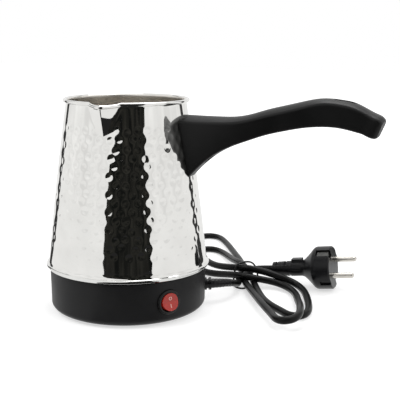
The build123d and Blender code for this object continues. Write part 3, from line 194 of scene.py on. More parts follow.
@dataclass(frozen=True)
class Metal(Finish):
    """A bare or plated metal: two tones, a spread of roughness and fine marks."""

    second: Color
    rough_low: float
    rough_high: float
    grain: Grain = Grain.EVEN
    mark_scale: float = 900.0
    mark_depth: float = 4e-6
    cloud_scale: float = 60.0

    def surface(self, sheet: Sheet) -> dict[str, Any]:
        """Builds the clouding and the fine marks.

        Args:
            sheet: the material's tree.

        Returns:
            The surface shader's inputs.
        """
        cloud = sheet.noise(sheet.place(), self.cloud_scale, 3.0)
        fine = sheet.noise(grain_vector(sheet, self.grain), self.mark_scale, 3.0, 0.6)
        bump = sheet.add("ShaderNodeBump", {"Height": fine, "Distance": self.mark_depth, "Strength": 1.0})
        return {
            "Base Color": sheet.blend(sheet.spread(cloud, 0.0, 1.0), self.color, self.second),
            "Metallic": 1.0,
            "Roughness": sheet.spread(fine, self.rough_low, self.rough_high),
            "Normal": bump.outputs[0],
        }


@dataclass(frozen=True)
class Moulding(Finish):
    """A moulded plastic or rubber: a fine spark-eroded grain, clouding and a spread of gloss."""

    second: Color
    rough_low: float
    rough_high: float
    specular: float = 0.35
    grain: Grain = Grain.EVEN
    pore_scale: float = 1500.0
    pore_depth: float = 3e-5
    cloud_scale: float = 45.0
    coat: float = 0.0
    inner_glow: float = 0.0

    def surface(self, sheet: Sheet) -> dict[str, Any]:
        """Builds the clouding and the pores.

        Args:
            sheet: the material's tree.

        Returns:
            The surface shader's inputs.
        """
        cloud = sheet.noise(sheet.place(), self.cloud_scale, 3.0)
        pores = sheet.noise(grain_vector(sheet, self.grain), self.pore_scale, 2.0, 0.55)
        bump = sheet.add("ShaderNodeBump", {"Height": pores, "Distance": self.pore_depth, "Strength": 1.0})
        mixed = sheet.plus(sheet.times(cloud, 0.6), sheet.times(pores, 0.4))
        return {
            "Base Color": sheet.blend(sheet.spread(mixed, 0.0, 1.0), self.color, self.second),
            "Roughness": sheet.spread(mixed, self.rough_low, self.rough_high),
            "Specular IOR Level": self.specular,
            "Coat Weight": self.coat,
            "Coat Roughness": 0.08,
            "Subsurface Weight": self.inner_glow,
            "Subsurface Scale": 0.002,
            "Normal": bump.outputs[0],
        }


@dataclass(frozen=True)
class Glass(Finish):
    """Thin lamp glass with a faint tint and a frosted patch."""

    def surface(self, sheet: Sheet) -> dict[str, Any]:
        """Builds the frosting.

        Args:
            sheet: the material's tree.

        Returns:
            The surface shader's inputs.
        """
        frost = sheet.noise(sheet.place(), 500.0, 2.0)
        return {
            "Base Color": (*self.color, 1.0),
            "Roughness": sheet.spread(frost, 0.02, 0.2),
            "Transmission Weight": 0.85,
            "IOR": 1.48,
        }


@dataclass
class Finishes:
    """Every finish of the appliance, built once."""

    made: dict[str, Material] = field(default_factory=dict)
    recipes: tuple[Finish, ...] = (
        Metal("mirror_steel", (0.86, 0.855, 0.83), (0.8, 0.795, 0.77), 0.015, 0.06, Grain.ROUND, 700.0, 4e-7),
        Metal("rim_steel", (0.85, 0.845, 0.82), (0.78, 0.77, 0.75), 0.03, 0.10, Grain.ROUND, 900.0, 5e-7),
        Metal("liner_steel", (0.84, 0.81, 0.755), (0.74, 0.71, 0.66), 0.30, 0.46, Grain.ROUND, 1500.0, 3e-6),
        Metal("ring_steel", (0.84, 0.84, 0.82), (0.76, 0.76, 0.74), 0.03, 0.09, Grain.ROUND, 1200.0, 5e-7),
        Metal("plain_steel", (0.60, 0.60, 0.59), (0.47, 0.47, 0.46), 0.25, 0.45, Grain.EVEN, 700.0, 6e-6),
        Metal("zinc_plate", (0.66, 0.66, 0.60), (0.55, 0.56, 0.55), 0.22, 0.42, Grain.EVEN, 500.0, 5e-6),
        Metal("cast_aluminium", (0.72, 0.72, 0.72), (0.58, 0.58, 0.58), 0.35, 0.6, Grain.EVEN, 900.0, 2e-5),
        Metal("copper_strip", (0.72, 0.40, 0.24), (0.55, 0.27, 0.15), 0.2, 0.4),
        Metal("brass_strip", (0.76, 0.60, 0.28), (0.60, 0.45, 0.2), 0.2, 0.4),
        Metal("nickel_pins", (0.78, 0.75, 0.70), (0.62, 0.59, 0.54), 0.12, 0.3, Grain.ALONG_X, 1500.0, 4e-6),
        # The earth contacts' metal: plated strips given a near-black base colour as painted shade, standing
        # in for the shade inside the plug's earth recess.
        Metal("earth_strip_painted_shade", (0.07, 0.07, 0.068), (0.04, 0.04, 0.04), 0.35, 0.5, Grain.ALONG_X, 1200.0, 4e-6),
        Moulding("base_plastic", (0.012, 0.012, 0.0124), (0.016, 0.016, 0.0165), 0.36, 0.48, 0.16),
        Moulding("handle_plastic", (0.0045, 0.0045, 0.0045), (0.007, 0.007, 0.007), 0.32, 0.44, 0.24),
        Moulding("switch_plastic", (0.005, 0.005, 0.005), (0.008, 0.008, 0.008), 0.2, 0.32, 0.3),
        Moulding(
            "rocker_red",
            (0.34, 0.018, 0.012),
            (0.44, 0.03, 0.018),
            0.16,
            0.28,
            0.4,
            pore_scale=900.0,
            pore_depth=4e-6,
            cloud_scale=120.0,
            coat=0.4,
            inner_glow=0.25,
        ),
        Moulding("legend_paint", (0.85, 0.55, 0.50), (0.75, 0.45, 0.40), 0.4, 0.55),
        Moulding("cord_sheath", (0.003,) * 3, (0.006,) * 3, 0.26, 0.38, 0.14, pore_scale=900.0),
        Moulding(
            "plug_rubber", (0.003, 0.003, 0.0036), (0.006, 0.006, 0.007), 0.26, 0.38, 0.26, pore_scale=1100.0
        ),
        Moulding("tie_sheath", (0.004, 0.004, 0.004), (0.007, 0.007, 0.007), 0.22, 0.34, 0.3),
        Moulding("foot_rubber", (0.012, 0.012, 0.012), (0.02, 0.02, 0.02), 0.6, 0.8, 0.25),
        Moulding("steatite", (0.78, 0.74, 0.66), (0.68, 0.63, 0.55), 0.5, 0.75, 0.4),
        Moulding("wire_brown", (0.16, 0.06, 0.025), (0.12, 0.045, 0.02), 0.4, 0.55),
        Moulding("wire_white", (0.78, 0.76, 0.71), (0.68, 0.66, 0.61), 0.4, 0.55),
        Moulding("wire_blue", (0.03, 0.11, 0.42), (0.025, 0.08, 0.33), 0.4, 0.55),
        Moulding("wire_green", (0.25, 0.5, 0.05), (0.6, 0.55, 0.05), 0.4, 0.55, cloud_scale=250.0),
        Glass("lamp_glass", (1.0, 0.88, 0.78)),
    )

    def __getitem__(self, name: str) -> Material:
        """Gives a finish's material, built at its first use.

        Args:
            name: the finish's name.

        Returns:
            Its material.
        """
        if name not in self.made:
            recipe = next(r for r in self.recipes if r.name == name)
            self.made[name] = recipe.build()
        return self.made[name]


def dress(piece: Object, material: Material) -> None:
    """Gives a piece one material.

    Args:
        piece: the mesh or curve.
        material: its finish.
    """
    piece.data.materials.clear()
    piece.data.materials.append(material)


def stand(name: str, data: Any) -> Object:
    """Puts data into the scene.

    Args:
        name: the object's name.
        data: its mesh, curve, lamp or camera.

    Returns:
        The linked object.
    """
    thing = bpy.data.objects.new(name, data)
    bpy.context.scene.collection.objects.link(thing)
    return thing


def raw_mesh(name: str, points: list[Any], faces: Faces) -> Mesh:
    """Makes a mesh.

    Args:
        name: its name.
        points: its vertices, in metres.
        faces: its faces.

    Returns:
        The mesh.
    """
    mesh = bpy.data.meshes.new(name)
    mesh.from_pydata(points, [], faces)
    return mesh


def polar(radius: Any, turns: np.ndarray) -> np.ndarray:
    """Flat points at one or many distances from the axis, by their bearings in radians."""
    return np.stack([radius * np.cos(turns), radius * np.sin(turns)], 1)


def mesh_piece(name: str, points: np.ndarray, faces: Faces, smooth: bool = True) -> Object:
    """Makes a mesh object with its faces turned outwards.

    Args:
        name: the piece's name.
        points: its vertices, in metres.
        faces: its faces, which make a closed surface.
        smooth: whether it is shaded smooth.

    Returns:
        The linked object.
    """
    mesh = raw_mesh(name, points.tolist(), faces)
    mesh.update()
    a = points[[f[0] for f in faces]]
    b = points[[f[1] for f in faces]]
    c = points[[f[2] for f in faces]]
    d = points[[f[-1] for f in faces]]
    signed = np.einsum("ij,ij->", a, np.cross(b, c)) + np.einsum("ij,ij->", a, np.cross(c, d))
    if signed < 0:
        mesh.flip_normals()
    if smooth:
        mesh.shade_smooth()
    return stand(name, mesh)


def ring_faces(rows: int, columns: int) -> Faces:
    """Quads between rings of points that each close on themselves; the last ring joins the first.

    Args:
        rows: how many rings there are.
        columns: how many points each ring has.

    Returns:
        The faces.
    """
    faces = []
    for row in range(rows):
        lower, upper = row * columns, (row + 1) % rows * columns
        for column in range(columns):
            after = (column + 1) % columns
            faces.append((lower + column, lower + after, upper + after, upper + column))
    return faces


def plain_copy(piece: Object, material: Material) -> Object:
    """Turns a piece with a Geometry Nodes modifier into a plain mesh.

    Args:
        piece: the mesh or curve with the modifier.
        material: the finish that the mesh carries.

    Returns:
        The plain piece, under the same name.
    """
    bpy.context.view_layer.update()
    result = bpy.data.meshes.new_from_object(piece.evaluated_get(bpy.context.evaluated_depsgraph_get()))
    piece.modifiers.clear()
    if piece.type == "MESH":
        piece.data = result
    else:
        name = piece.name
        bpy.data.objects.remove(piece)
        piece = stand(name, result)
    piece.data.shade_smooth()
    dress(piece, material)
    return piece


class GeometryTree(Sheet):
    """A Geometry Nodes group with named inputs."""

    def __init__(self, name: str) -> None:
        """Makes the group with its geometry in and out.

        Args:
            name: the group's name.
        """
        super().__init__(bpy.data.node_groups.new(name, "GeometryNodeTree"))
        face = self.tree.interface
        face.new_socket("Geometry", in_out="INPUT", socket_type="NodeSocketGeometry")
        face.new_socket("Geometry", in_out="OUTPUT", socket_type="NodeSocketGeometry")
        self.names: dict[str, str] = {}
        self.values: dict[str, Any] = {}

    def take(self, **sizes: float | int | Material) -> Node:
        """Adds named inputs and returns the group's input node.

        Args:
            sizes: each input's name and value.

        Returns:
            The Group Input node.
        """
        for name, value in sizes.items():
            kind = "NodeSocketFloat"
            if isinstance(value, Material):
                kind = "NodeSocketMaterial"
            elif isinstance(value, int):
                kind = "NodeSocketInt"
            socket = self.tree.interface.new_socket(name, in_out="INPUT", socket_type=kind)
            self.names[name] = socket.identifier
            self.values[name] = value
        return self.add("NodeGroupInput")

    def finish(self, geometry: NodeSocket, material: NodeSocket) -> None:
        """Ends the group in Realize Instances and Set Material.

        Args:
            geometry: what the group has made.
            material: its finish.
        """
        real = self.add("GeometryNodeRealizeInstances", {0: geometry})
        dressed = self.add("GeometryNodeSetMaterial", {"Geometry": real.outputs[0], "Material": material})
        self.add("NodeGroupOutput", {0: dressed.outputs[0]})

    def apply(self, piece: Object) -> None:
        """Puts the group on a piece and sets its inputs by identifier.

        Args:
            piece: the mesh or curve.
        """
        modifier = piece.modifiers.new(self.tree.name, "NODES")
        modifier.node_group = self.tree
        for name, value in self.values.items():
            modifier[self.names[name]] = value


@dataclass
class HammeredPot:
    """The steel pot: one closed shell with its spout, rolled rim and hammered band. Millimetres, degrees."""

    foot_z: float = 38.30
    height: float = 128.57
    foot_r: float = 63.4
    rim_r: float = 46.9
    bulge: float = 0.8
    wall: float = 0.8
    bead_r: float = 1.49
    bead_shift: float = 1.15
    spout_angle: float = -84.2
    spout_reach: float = 10.7
    spout_droop: float = 1.3
    spout_half: float = 14.9
    spout_depth: float = 23.0
    spout_low: float = 3.4
    spout_low_half: float = 6.2
    spout_soft: float = 0.55
    soft_start: float = 0.02
    soft_share: float = 0.5
    liner_ridge: float = 1.1
    root_half: float = 0.9
    root_fade: float = 40.0
    runout_turn: float = 20.0
    runout_slope: float = 0.25
    tip_shift: float = 1.2
    rim_smoothings: int = 5
    band_low_z: float = 52.0
    band_high_z: float = 151.2
    band_fade: float = 0.5
    foot_curl: tuple[Point2, ...] = ((0.0, 0.9), (0.7, 0.45), (1.6, 0.15), (2.8, 0.0))
    dimple_r: float = 3.0
    dimple_depth: float = 0.185
    dimples_round: int = 39
    row_pitch: float = 6.6
    first_row: float = 0.2
    wander: float = 0.17
    spout_guard: float = 2.5
    guard_fade: float = 1.2
    guard_start: float = 0.4
    inner_columns: int = 36
    outer_columns: int = 444
    low_start: float = 4.5
    low_gap: float = 1.5
    low_rows: int = 5
    rows: int = 142
    top_gap: float = 2.0
    top_end: float = 2.2
    top_rows: int = 10
    bead_turns: Point2 = (-138.0, 90.0)
    bead_rows: int = 15
    lip_turns: Point2 = (105.0, 172.0)
    lip_drop: float = 0.9
    lip_rows: int = 6
    neck_drops: Point2 = (2.0, 24.0)
    neck_rows: int = 12
    belly_drop: float = 32.0
    belly_rows: int = 10
    polished_rows: int = 18

    @property
    def rim_z(self) -> float:
        """Height of the rim."""
        return self.foot_z + self.height

    @property
    def apex_z(self) -> float:
        """Height of the spout's lowest point."""
        return self.rim_z - self.spout_depth

    def wall_at(self, z: float) -> float:
        """Outer radius of the plain wall at a height."""
        t = (z - self.foot_z) / self.height
        return self.foot_r + (self.rim_r - self.foot_r) * t + 4 * self.bulge * t * (1 - t)

    def side(self, angles: np.ndarray) -> np.ndarray:
        """How far bearings lie from the spout, to either side."""
        return np.abs(np.where(angles > math.pi, angles - 2 * math.pi, angles))

    def half_at(self, z: float) -> float:
        """Half the angle that the spout's facets take at a height.

        Args:
            z: the height.

        Returns:
            The angle in degrees; below the facets it only spaces the columns.
        """
        low = self.apex_z + self.spout_low
        if z >= low:
            widening = self.spout_half - self.spout_low_half
            return self.spout_low_half + widening * (z - low) / (self.rim_z - low)
        if z >= self.apex_z:
            widening = self.spout_low_half - self.root_half
            return self.root_half + widening * (z - self.apex_z) / self.spout_low
        widening = self.spout_half - self.root_half
        return self.root_half + widening * min(1.0, (self.apex_z - z) / self.root_fade)

    def ring_angles(self, z: float) -> np.ndarray:
        """Spaces one ring's points, closely on the facets.

        Args:
            z: the ring's height.

        Returns:
            Their bearings from the spout, in radians.
        """
        half = math.radians(self.half_at(z))
        inner = np.linspace(-half, half, self.inner_columns + 1)
        outer = np.linspace(half, 2 * math.pi - half, self.outer_columns + 1)[1:-1]
        return np.concatenate([inner, outer])

    def pressed(self, angles: np.ndarray, plain: float, ridge: float, half: float, soft: float) -> np.ndarray:
        """Radius round a ring that leaves its circle in two straight facets towards the spout's ridge.

        Args:
            angles: bearings from the spout, in radians.
            plain: the circle's radius.
            ridge: the radius where the facets meet.
            half: half the angle that the facets take, in radians.
            soft: how softly the facets run out into the circle.

        Returns:
            The radius at every bearing.
        """
        near = self.side(angles) < half + math.radians(self.runout_turn)
        side = self.side(angles)[near]
        edge = np.array([plain * math.cos(half), plain * math.sin(half)])
        line = np.array([ridge, 0.0]) - edge
        cross = edge[0] * line[1] - edge[1] * line[0]
        lift = cross / (np.cos(side) * line[1] - np.sin(side) * line[0]) - plain
        lift = np.minimum(lift, np.where(side > half, (half - side) * plain * self.runout_slope, lift))
        radius = np.full_like(angles, plain)
        radius[near] += np.logaddexp(0.0, lift / soft) * soft
        return radius

    def ring_radius(self, angles: np.ndarray, z: float, inset: float) -> np.ndarray:
        """Radius of the wall or the liner round one ring.

        Args:
            angles: bearings from the spout, in radians.
            z: the ring's height.
            inset: how far it lies inside the wall's outer face.

        Returns:
            The radius at every bearing.
        """
        plain = self.wall_at(z) - inset
        if z <= self.apex_z:
            return np.full_like(angles, plain)
        share = (z - self.apex_z) / self.spout_depth
        root = self.wall_at(self.apex_z)
        ridge = root + (self.rim_r + self.spout_reach - root) * share - inset * self.liner_ridge
        soft = self.spout_soft * min(1.0, self.soft_start + share / self.soft_share)
        return self.pressed(angles, plain, ridge, math.radians(self.half_at(z)), soft)

    def rim_path(self) -> tuple[np.ndarray, np.ndarray]:
        """Draws the rolled rim's centre line, flat and in the spout's frame.

        Returns:
            The line's points and their outward directions.
        """
        angles = self.ring_angles(self.rim_z)
        tip = self.rim_r + self.spout_reach + self.bead_shift * self.tip_shift
        half = math.radians(self.spout_half)
        radius = self.pressed(angles, self.rim_r + self.bead_shift, tip, half, self.spout_soft)
        for _ in range(self.rim_smoothings):
            radius = (np.roll(radius, 1) + 2 * radius + np.roll(radius, -1)) / 4
        path = polar(radius, angles)
        along = np.roll(path, -1, 0) - np.roll(path, 1, 0)
        out = np.stack([along[:, 1], -along[:, 0]], 1)
        out /= np.linalg.norm(out, axis=1)[:, None]
        return path, out

    def turned(self, flat: np.ndarray, z: float) -> np.ndarray:
        """Puts flat points of the spout's frame at their bearing and height, and lets the spout droop.

        Args:
            flat: the points.
            z: their height away from the spout.

        Returns:
            The points in the appliance's frame.
        """
        side = np.abs(np.arctan2(flat[:, 1], flat[:, 0])) / math.radians(self.spout_half)
        share = np.clip((z - self.rim_z + self.spout_depth) / self.spout_depth, 0.0, 1.0) ** 2
        z = z - self.spout_droop * share * np.clip(1.0 - side**4, 0.0, 1.0)
        turn = math.radians(self.spout_angle)
        x = flat[:, 0] * math.cos(turn) - flat[:, 1] * math.sin(turn)
        y = flat[:, 0] * math.sin(turn) + flat[:, 1] * math.cos(turn)
        return np.stack([x, y, np.broadcast_to(z, x.shape)], 1)

    def ring(self, z: float, inset: float) -> np.ndarray:
        """One ring of the wall or the liner."""
        angles = self.ring_angles(z)
        return self.turned(polar(self.ring_radius(angles, z, inset), angles), z)

    def rim_rings(self) -> list[np.ndarray]:
        """Rolls the rim outwards and leads it over into the liner.

        Returns:
            The rings, from under the bead to the lip's inner face.
        """
        path, out = self.rim_path()
        rings = []
        for turn in np.radians(np.linspace(*self.bead_turns, self.bead_rows)):
            flat = path + out * self.bead_r * math.cos(turn)
            rings.append(self.turned(flat, self.rim_z + self.bead_r * math.sin(turn)))
        reach, rise = self.bead_shift + self.wall, self.bead_r + self.lip_drop
        for turn in np.radians(np.linspace(*self.lip_turns, self.lip_rows)):
            flat = path + out * reach * math.cos(turn)
            rings.append(self.turned(flat, self.rim_z - self.lip_drop + rise * math.sin(turn)))
        return rings

    def rings(self) -> tuple[list[np.ndarray], list[float]]:
        """Draws the whole shell.

        Returns:
            Every ring in order, and how much of the hammering each takes.
        """
        rings = [self.ring(self.foot_z + rise, -flare) for rise, flare in self.foot_curl]
        shares = [0.0] * len(rings)
        low = np.linspace(self.foot_z + self.low_start, self.band_low_z - self.low_gap, self.low_rows)
        band = np.linspace(self.band_low_z - self.band_fade, self.band_high_z + self.band_fade, self.rows)
        top = np.linspace(self.band_high_z + self.top_gap, self.rim_z - self.top_end, self.top_rows)
        for z in [*low, *band, *top]:
            rings.append(self.ring(z, 0.0))
            edge = min(z - self.band_low_z, self.band_high_z - z)
            shares.append(float(np.clip(edge + self.band_fade, 0.0, 1.0)))
        rings += self.rim_rings()
        neck_start, neck_end = self.neck_drops
        neck = np.linspace(self.rim_z - neck_start, self.rim_z - neck_end, self.neck_rows)
        belly = np.linspace(self.rim_z - self.belly_drop, self.foot_z, self.belly_rows)
        rings += [self.ring(z, self.wall) for z in [*neck, *belly]]
        shares += [0.0] * (len(rings) - len(shares))
        return rings, shares

    def hammer_mask(self, rings: list[np.ndarray], shares: list[float]) -> np.ndarray:
        """Keeps the hammering off the spout.

        Args:
            rings: the shell's rings.
            shares: how much of the hammering each ring takes.

        Returns:
            How much of it each point takes, one row for each ring.
        """
        mask = np.repeat(np.array(shares), len(rings[0])).reshape(len(rings), -1)
        for row, (ring, share) in enumerate(zip(rings, shares)):
            z = float(ring[0, 2])
            if share == 0.0 or z <= self.apex_z - self.spout_guard:
                continue
            half = math.radians(self.half_at(z)) if z > self.apex_z else 0.0
            gap = (self.side(self.ring_angles(z)) - half) * self.wall_at(z)
            mask[row] *= np.clip(gap / self.guard_fade - self.guard_start, 0.0, 1.0)
        return mask

    def hammer_tree(self, material: Material) -> GeometryTree:
        """Builds the group that presses staggered dimples into the band.

        Args:
            material: the wall's finish.

        Returns:
            The group.
        """
        rows = int((self.band_high_z - self.band_low_z - 2 * self.dimple_r) / self.row_pitch) + 1
        tree = GeometryTree("hammered_band")
        taken = tree.take(
            foot_z=self.foot_z * MM,
            pot_height=self.height * MM,
            foot_radius=self.foot_r * MM,
            rim_radius=self.rim_r * MM,
            bulge=self.bulge * MM,
            first_row_z=(self.band_low_z + self.dimple_r + self.first_row) * MM,
            row_pitch=self.row_pitch * MM,
            dimple_radius=self.dimple_r * MM,
            dimple_depth=self.dimple_depth * MM,
            wander=self.wander,
            dimples_round=self.dimples_round,
            dimple_count=self.dimples_round * rows,
            seed=11,
            finish=material,
        ).outputs
        index = tree.add("GeometryNodeInputIndex").outputs[0]
        row = tree.math("FLOOR", tree.math("DIVIDE", tree.plus(index, 0.5), taken["dimples_round"]))
        column = tree.minus(index, tree.times(row, taken["dimples_round"]))
        shifts = []
        for offset in (0.0, 7.0):
            inputs = {2: -1.0, 3: 1.0, "ID": index, "Seed": tree.plus(taken["seed"], offset)}
            shift = tree.add("FunctionNodeRandomValue", inputs, data_type="FLOAT")
            shifts.append(tree.times(shift.outputs[1], taken["wander"]))
        stagger = tree.times(tree.math("MODULO", row, 2.0), 0.5)
        place = tree.plus(tree.plus(column, stagger), shifts[0])
        bearing = tree.times(tree.math("DIVIDE", place, taken["dimples_round"]), 2 * math.pi)
        level = tree.times(tree.plus(row, shifts[1]), taken["row_pitch"])
        height = tree.plus(level, taken["first_row_z"])
        share = tree.math("DIVIDE", tree.minus(height, taken["foot_z"]), taken["pot_height"])
        slope = tree.times(tree.minus(taken["rim_radius"], taken["foot_radius"]), share)
        crown = tree.times(tree.times(share, tree.minus(1.0, share)), 4.0)
        radius = tree.plus(tree.plus(taken["foot_radius"], slope), tree.times(crown, taken["bulge"]))
        spot = tree.point(
            tree.times(radius, tree.math("COSINE", bearing)),
            tree.times(radius, tree.math("SINE", bearing)),
            height,
        )
        inputs = {"Count": taken["dimple_count"], "Position": spot, "Radius": MM}
        blows = tree.add("GeometryNodePoints", inputs)
        near = tree.add("GeometryNodeProximity", {0: blows.outputs[0]}, target_element="POINTS")
        reach = tree.math("DIVIDE", near.outputs["Distance"], taken["dimple_radius"])
        bowl = tree.math("MAXIMUM", tree.minus(1.0, tree.times(reach, reach)), 0.0)
        mask = tree.add("GeometryNodeInputNamedAttribute", {"Name": "hammered"}, data_type="FLOAT")
        depth = tree.times(tree.times(bowl, taken["dimple_depth"]), mask.outputs["Attribute"])
        normal = tree.add("GeometryNodeInputNormal").outputs[0]
        inwards = tree.times(depth, -1.0)
        push = tree.add("ShaderNodeVectorMath", {0: normal, "Scale": inwards}, operation="SCALE")
        inputs = {"Geometry": taken["Geometry"], "Offset": push.outputs[0]}
        pressed = tree.add("GeometryNodeSetPosition", inputs)
        tree.finish(pressed.outputs[0], taken["finish"])
        return tree

    def build(self, finishes: Finishes) -> Object:
        """Builds and dresses the pot.

        Args:
            finishes: the appliance's finishes.

        Returns:
            The finished piece.
        """
        rings, shares = self.rings()
        points = np.concatenate(rings) * MM
        columns = len(rings[0])
        piece = mesh_piece("hammered_pot", points, ring_faces(len(rings), columns))
        mask = self.hammer_mask(rings, shares)
        piece.data.attributes.new("hammered", "FLOAT", "POINT").data.foreach_set("value", mask.ravel())
        self.hammer_tree(finishes["mirror_steel"]).apply(piece)
        piece = plain_copy(piece, finishes["mirror_steel"])
        self.paint_zones(piece, finishes, len(rings), columns)
        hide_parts("pot_body")
        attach(piece, "appliance")
        LOG.info("hammered pot: %d faces", len(piece.data.polygons))
        return piece

    def paint_zones(self, piece: Object, finishes: Finishes, rows: int, columns: int) -> None:
        """Gives the rim and the liner their own finishes, ring by ring.

        Args:
            piece: the pot.
            finishes: the appliance's finishes.
            rows: how many rings the shell has.
            columns: how many faces lie round each ring.
        """
        piece.data.materials.append(finishes["rim_steel"])
        piece.data.materials.append(finishes["liner_steel"])
        rim = len(self.foot_curl) + self.low_rows + self.rows + self.top_rows
        zones = np.zeros((rows, columns), int)
        zones[rim : rim + self.polished_rows] = 1
        zones[rim + self.polished_rows :] = 2
        piece.data.polygons.foreach_set("material_index", zones.ravel())
        piece.data.update()


@dataclass
class TrimRing:
    """The polished ring under the pot, turned from its section. Millimetres."""

    ring_r: float = 63.6
    ring_z: float = 37.17
    bead_r: float = 1.65
    bead_turns: Point2 = (176.0, 478.0)
    bead_points: int = 30
    web_in_r: float = 54.0
    web_low: Point2 = (60.8, 37.3)
    web_high: Point2 = (61.8, 38.3)
    columns: int = 256

    def build(self, finishes: Finishes) -> Object:
        """Builds and dresses the ring.

        Args:
            finishes: the appliance's finishes.

        Returns:
            The finished piece.
        """
        section = [(self.web_in_r, self.web_low[1]), self.web_low]
        for out, up in polar(self.bead_r, np.radians(np.linspace(*self.bead_turns, self.bead_points))):
            section.append((self.ring_r + out, self.ring_z + up))
        section += [self.web_high, (self.web_in_r, self.web_high[1])]
        angles = np.linspace(0, 2 * math.pi, self.columns, endpoint=False)
        rings = [np.column_stack([polar(r, angles), np.full_like(angles, z)]) for r, z in section]
        piece = mesh_piece("trim_bead", np.concatenate(rings) * MM, ring_faces(len(rings), self.columns))
        dress(piece, finishes["ring_steel"])
        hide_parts("trim_ring")
        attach(piece, "appliance")
        LOG.info("trim ring")
        return piece


@dataclass
class RockerLegends:
    """The O and I on the rocker's two flats. Millimetres in the rocker's own frame."""

    seat_r: float = 61.65
    bearing: float = -35.5
    seat_z: float = 18.64
    tilt: float = -11.0
    front: float = 4.8
    dish: float = 1.5
    flat_slope: float = 12.0
    levels: Point2 = (-0.06, 0.12)
    off_outer: Point2 = (1.3, 1.4)
    off_inner: Point2 = (0.86, 0.96)
    off_y: float = 2.7
    on_half: Point2 = (0.26, 1.35)
    on_y: float = -2.9
    oval_points: int = 32

    def frame(self) -> Matrix:
        """Finds the rocker's own frame: x along the wall, y up, z outwards.

        Returns:
            The frame's place in the appliance.
        """
        turn = math.radians(self.bearing)
        out = Vector((math.cos(turn), math.sin(turn), 0.0))
        across = Vector((-math.sin(turn), math.cos(turn), 0.0))
        seat = Matrix((across, (0, 0, 1), out)).transposed().to_4x4()
        place = Matrix.Translation(Vector((out.x * self.seat_r, out.y * self.seat_r, self.seat_z)))
        return place @ seat @ Matrix.Rotation(math.radians(self.tilt), 4, "X")

    def oval(self, half: Point2) -> list[Point2]:
        """An oval's outline, from half its width and height."""
        turns = np.linspace(0, 2 * math.pi, self.oval_points, endpoint=False)
        return [(half[0] * math.cos(t), half[1] * math.sin(t)) for t in turns]

    def mark(self, name: str, outline: list[Point2], hole: list[Point2], y: float) -> Object:
        """Makes one legend as a thin closed plate.

        Args:
            name: the piece's name.
            outline: its outer edge.
            hole: its inner edge with as many points, or an empty list.
            y: where its middle lies on the rocker.

        Returns:
            The piece.
        """
        slope = math.radians(self.flat_slope if y > 0 else -self.flat_slope)
        height = self.front - self.dish + abs(y) * math.tan(abs(slope))
        place = self.frame() @ Matrix.Translation(Vector((0, y, height))) @ Matrix.Rotation(slope, 4, "X")
        points: list[Vector] = []
        for ring in (outline, hole):
            for level in self.levels:
                points += [place @ Vector((u, v, level)) for u, v in ring]
        count = len(outline)
        faces: Faces = []
        for k in range(count):
            after = (k + 1) % count
            faces.append((k, after, count + after, count + k))
            if hole:
                faces.append((2 * count + k, 3 * count + k, 3 * count + after, 2 * count + after))
                faces.append((count + k, count + after, 3 * count + after, 3 * count + k))
                faces.append((k, 2 * count + k, 2 * count + after, after))
        if not hole:
            faces.append(tuple(range(count, 2 * count)))
            faces.append(tuple(range(count))[::-1])
        return mesh_piece(name, np.array([tuple(p) for p in points]) * MM, faces, smooth=False)

    def build(self, finishes: Finishes) -> list[Object]:
        """Builds and dresses both legends.

        Args:
            finishes: the appliance's finishes.

        Returns:
            The two pieces.
        """
        wide, high = self.on_half
        stroke = [(-wide, -high), (wide, -high), (wide, high), (-wide, high)]
        off_mark = self.mark("legend_off", self.oval(self.off_outer), self.oval(self.off_inner), self.off_y)
        on_mark = self.mark("legend_on", stroke, [], self.on_y)
        for piece in (off_mark, on_mark):
            dress(piece, finishes["legend_paint"])
            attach(piece, "rocker")
        LOG.info("rocker legends")
        return [off_mark, on_mark]


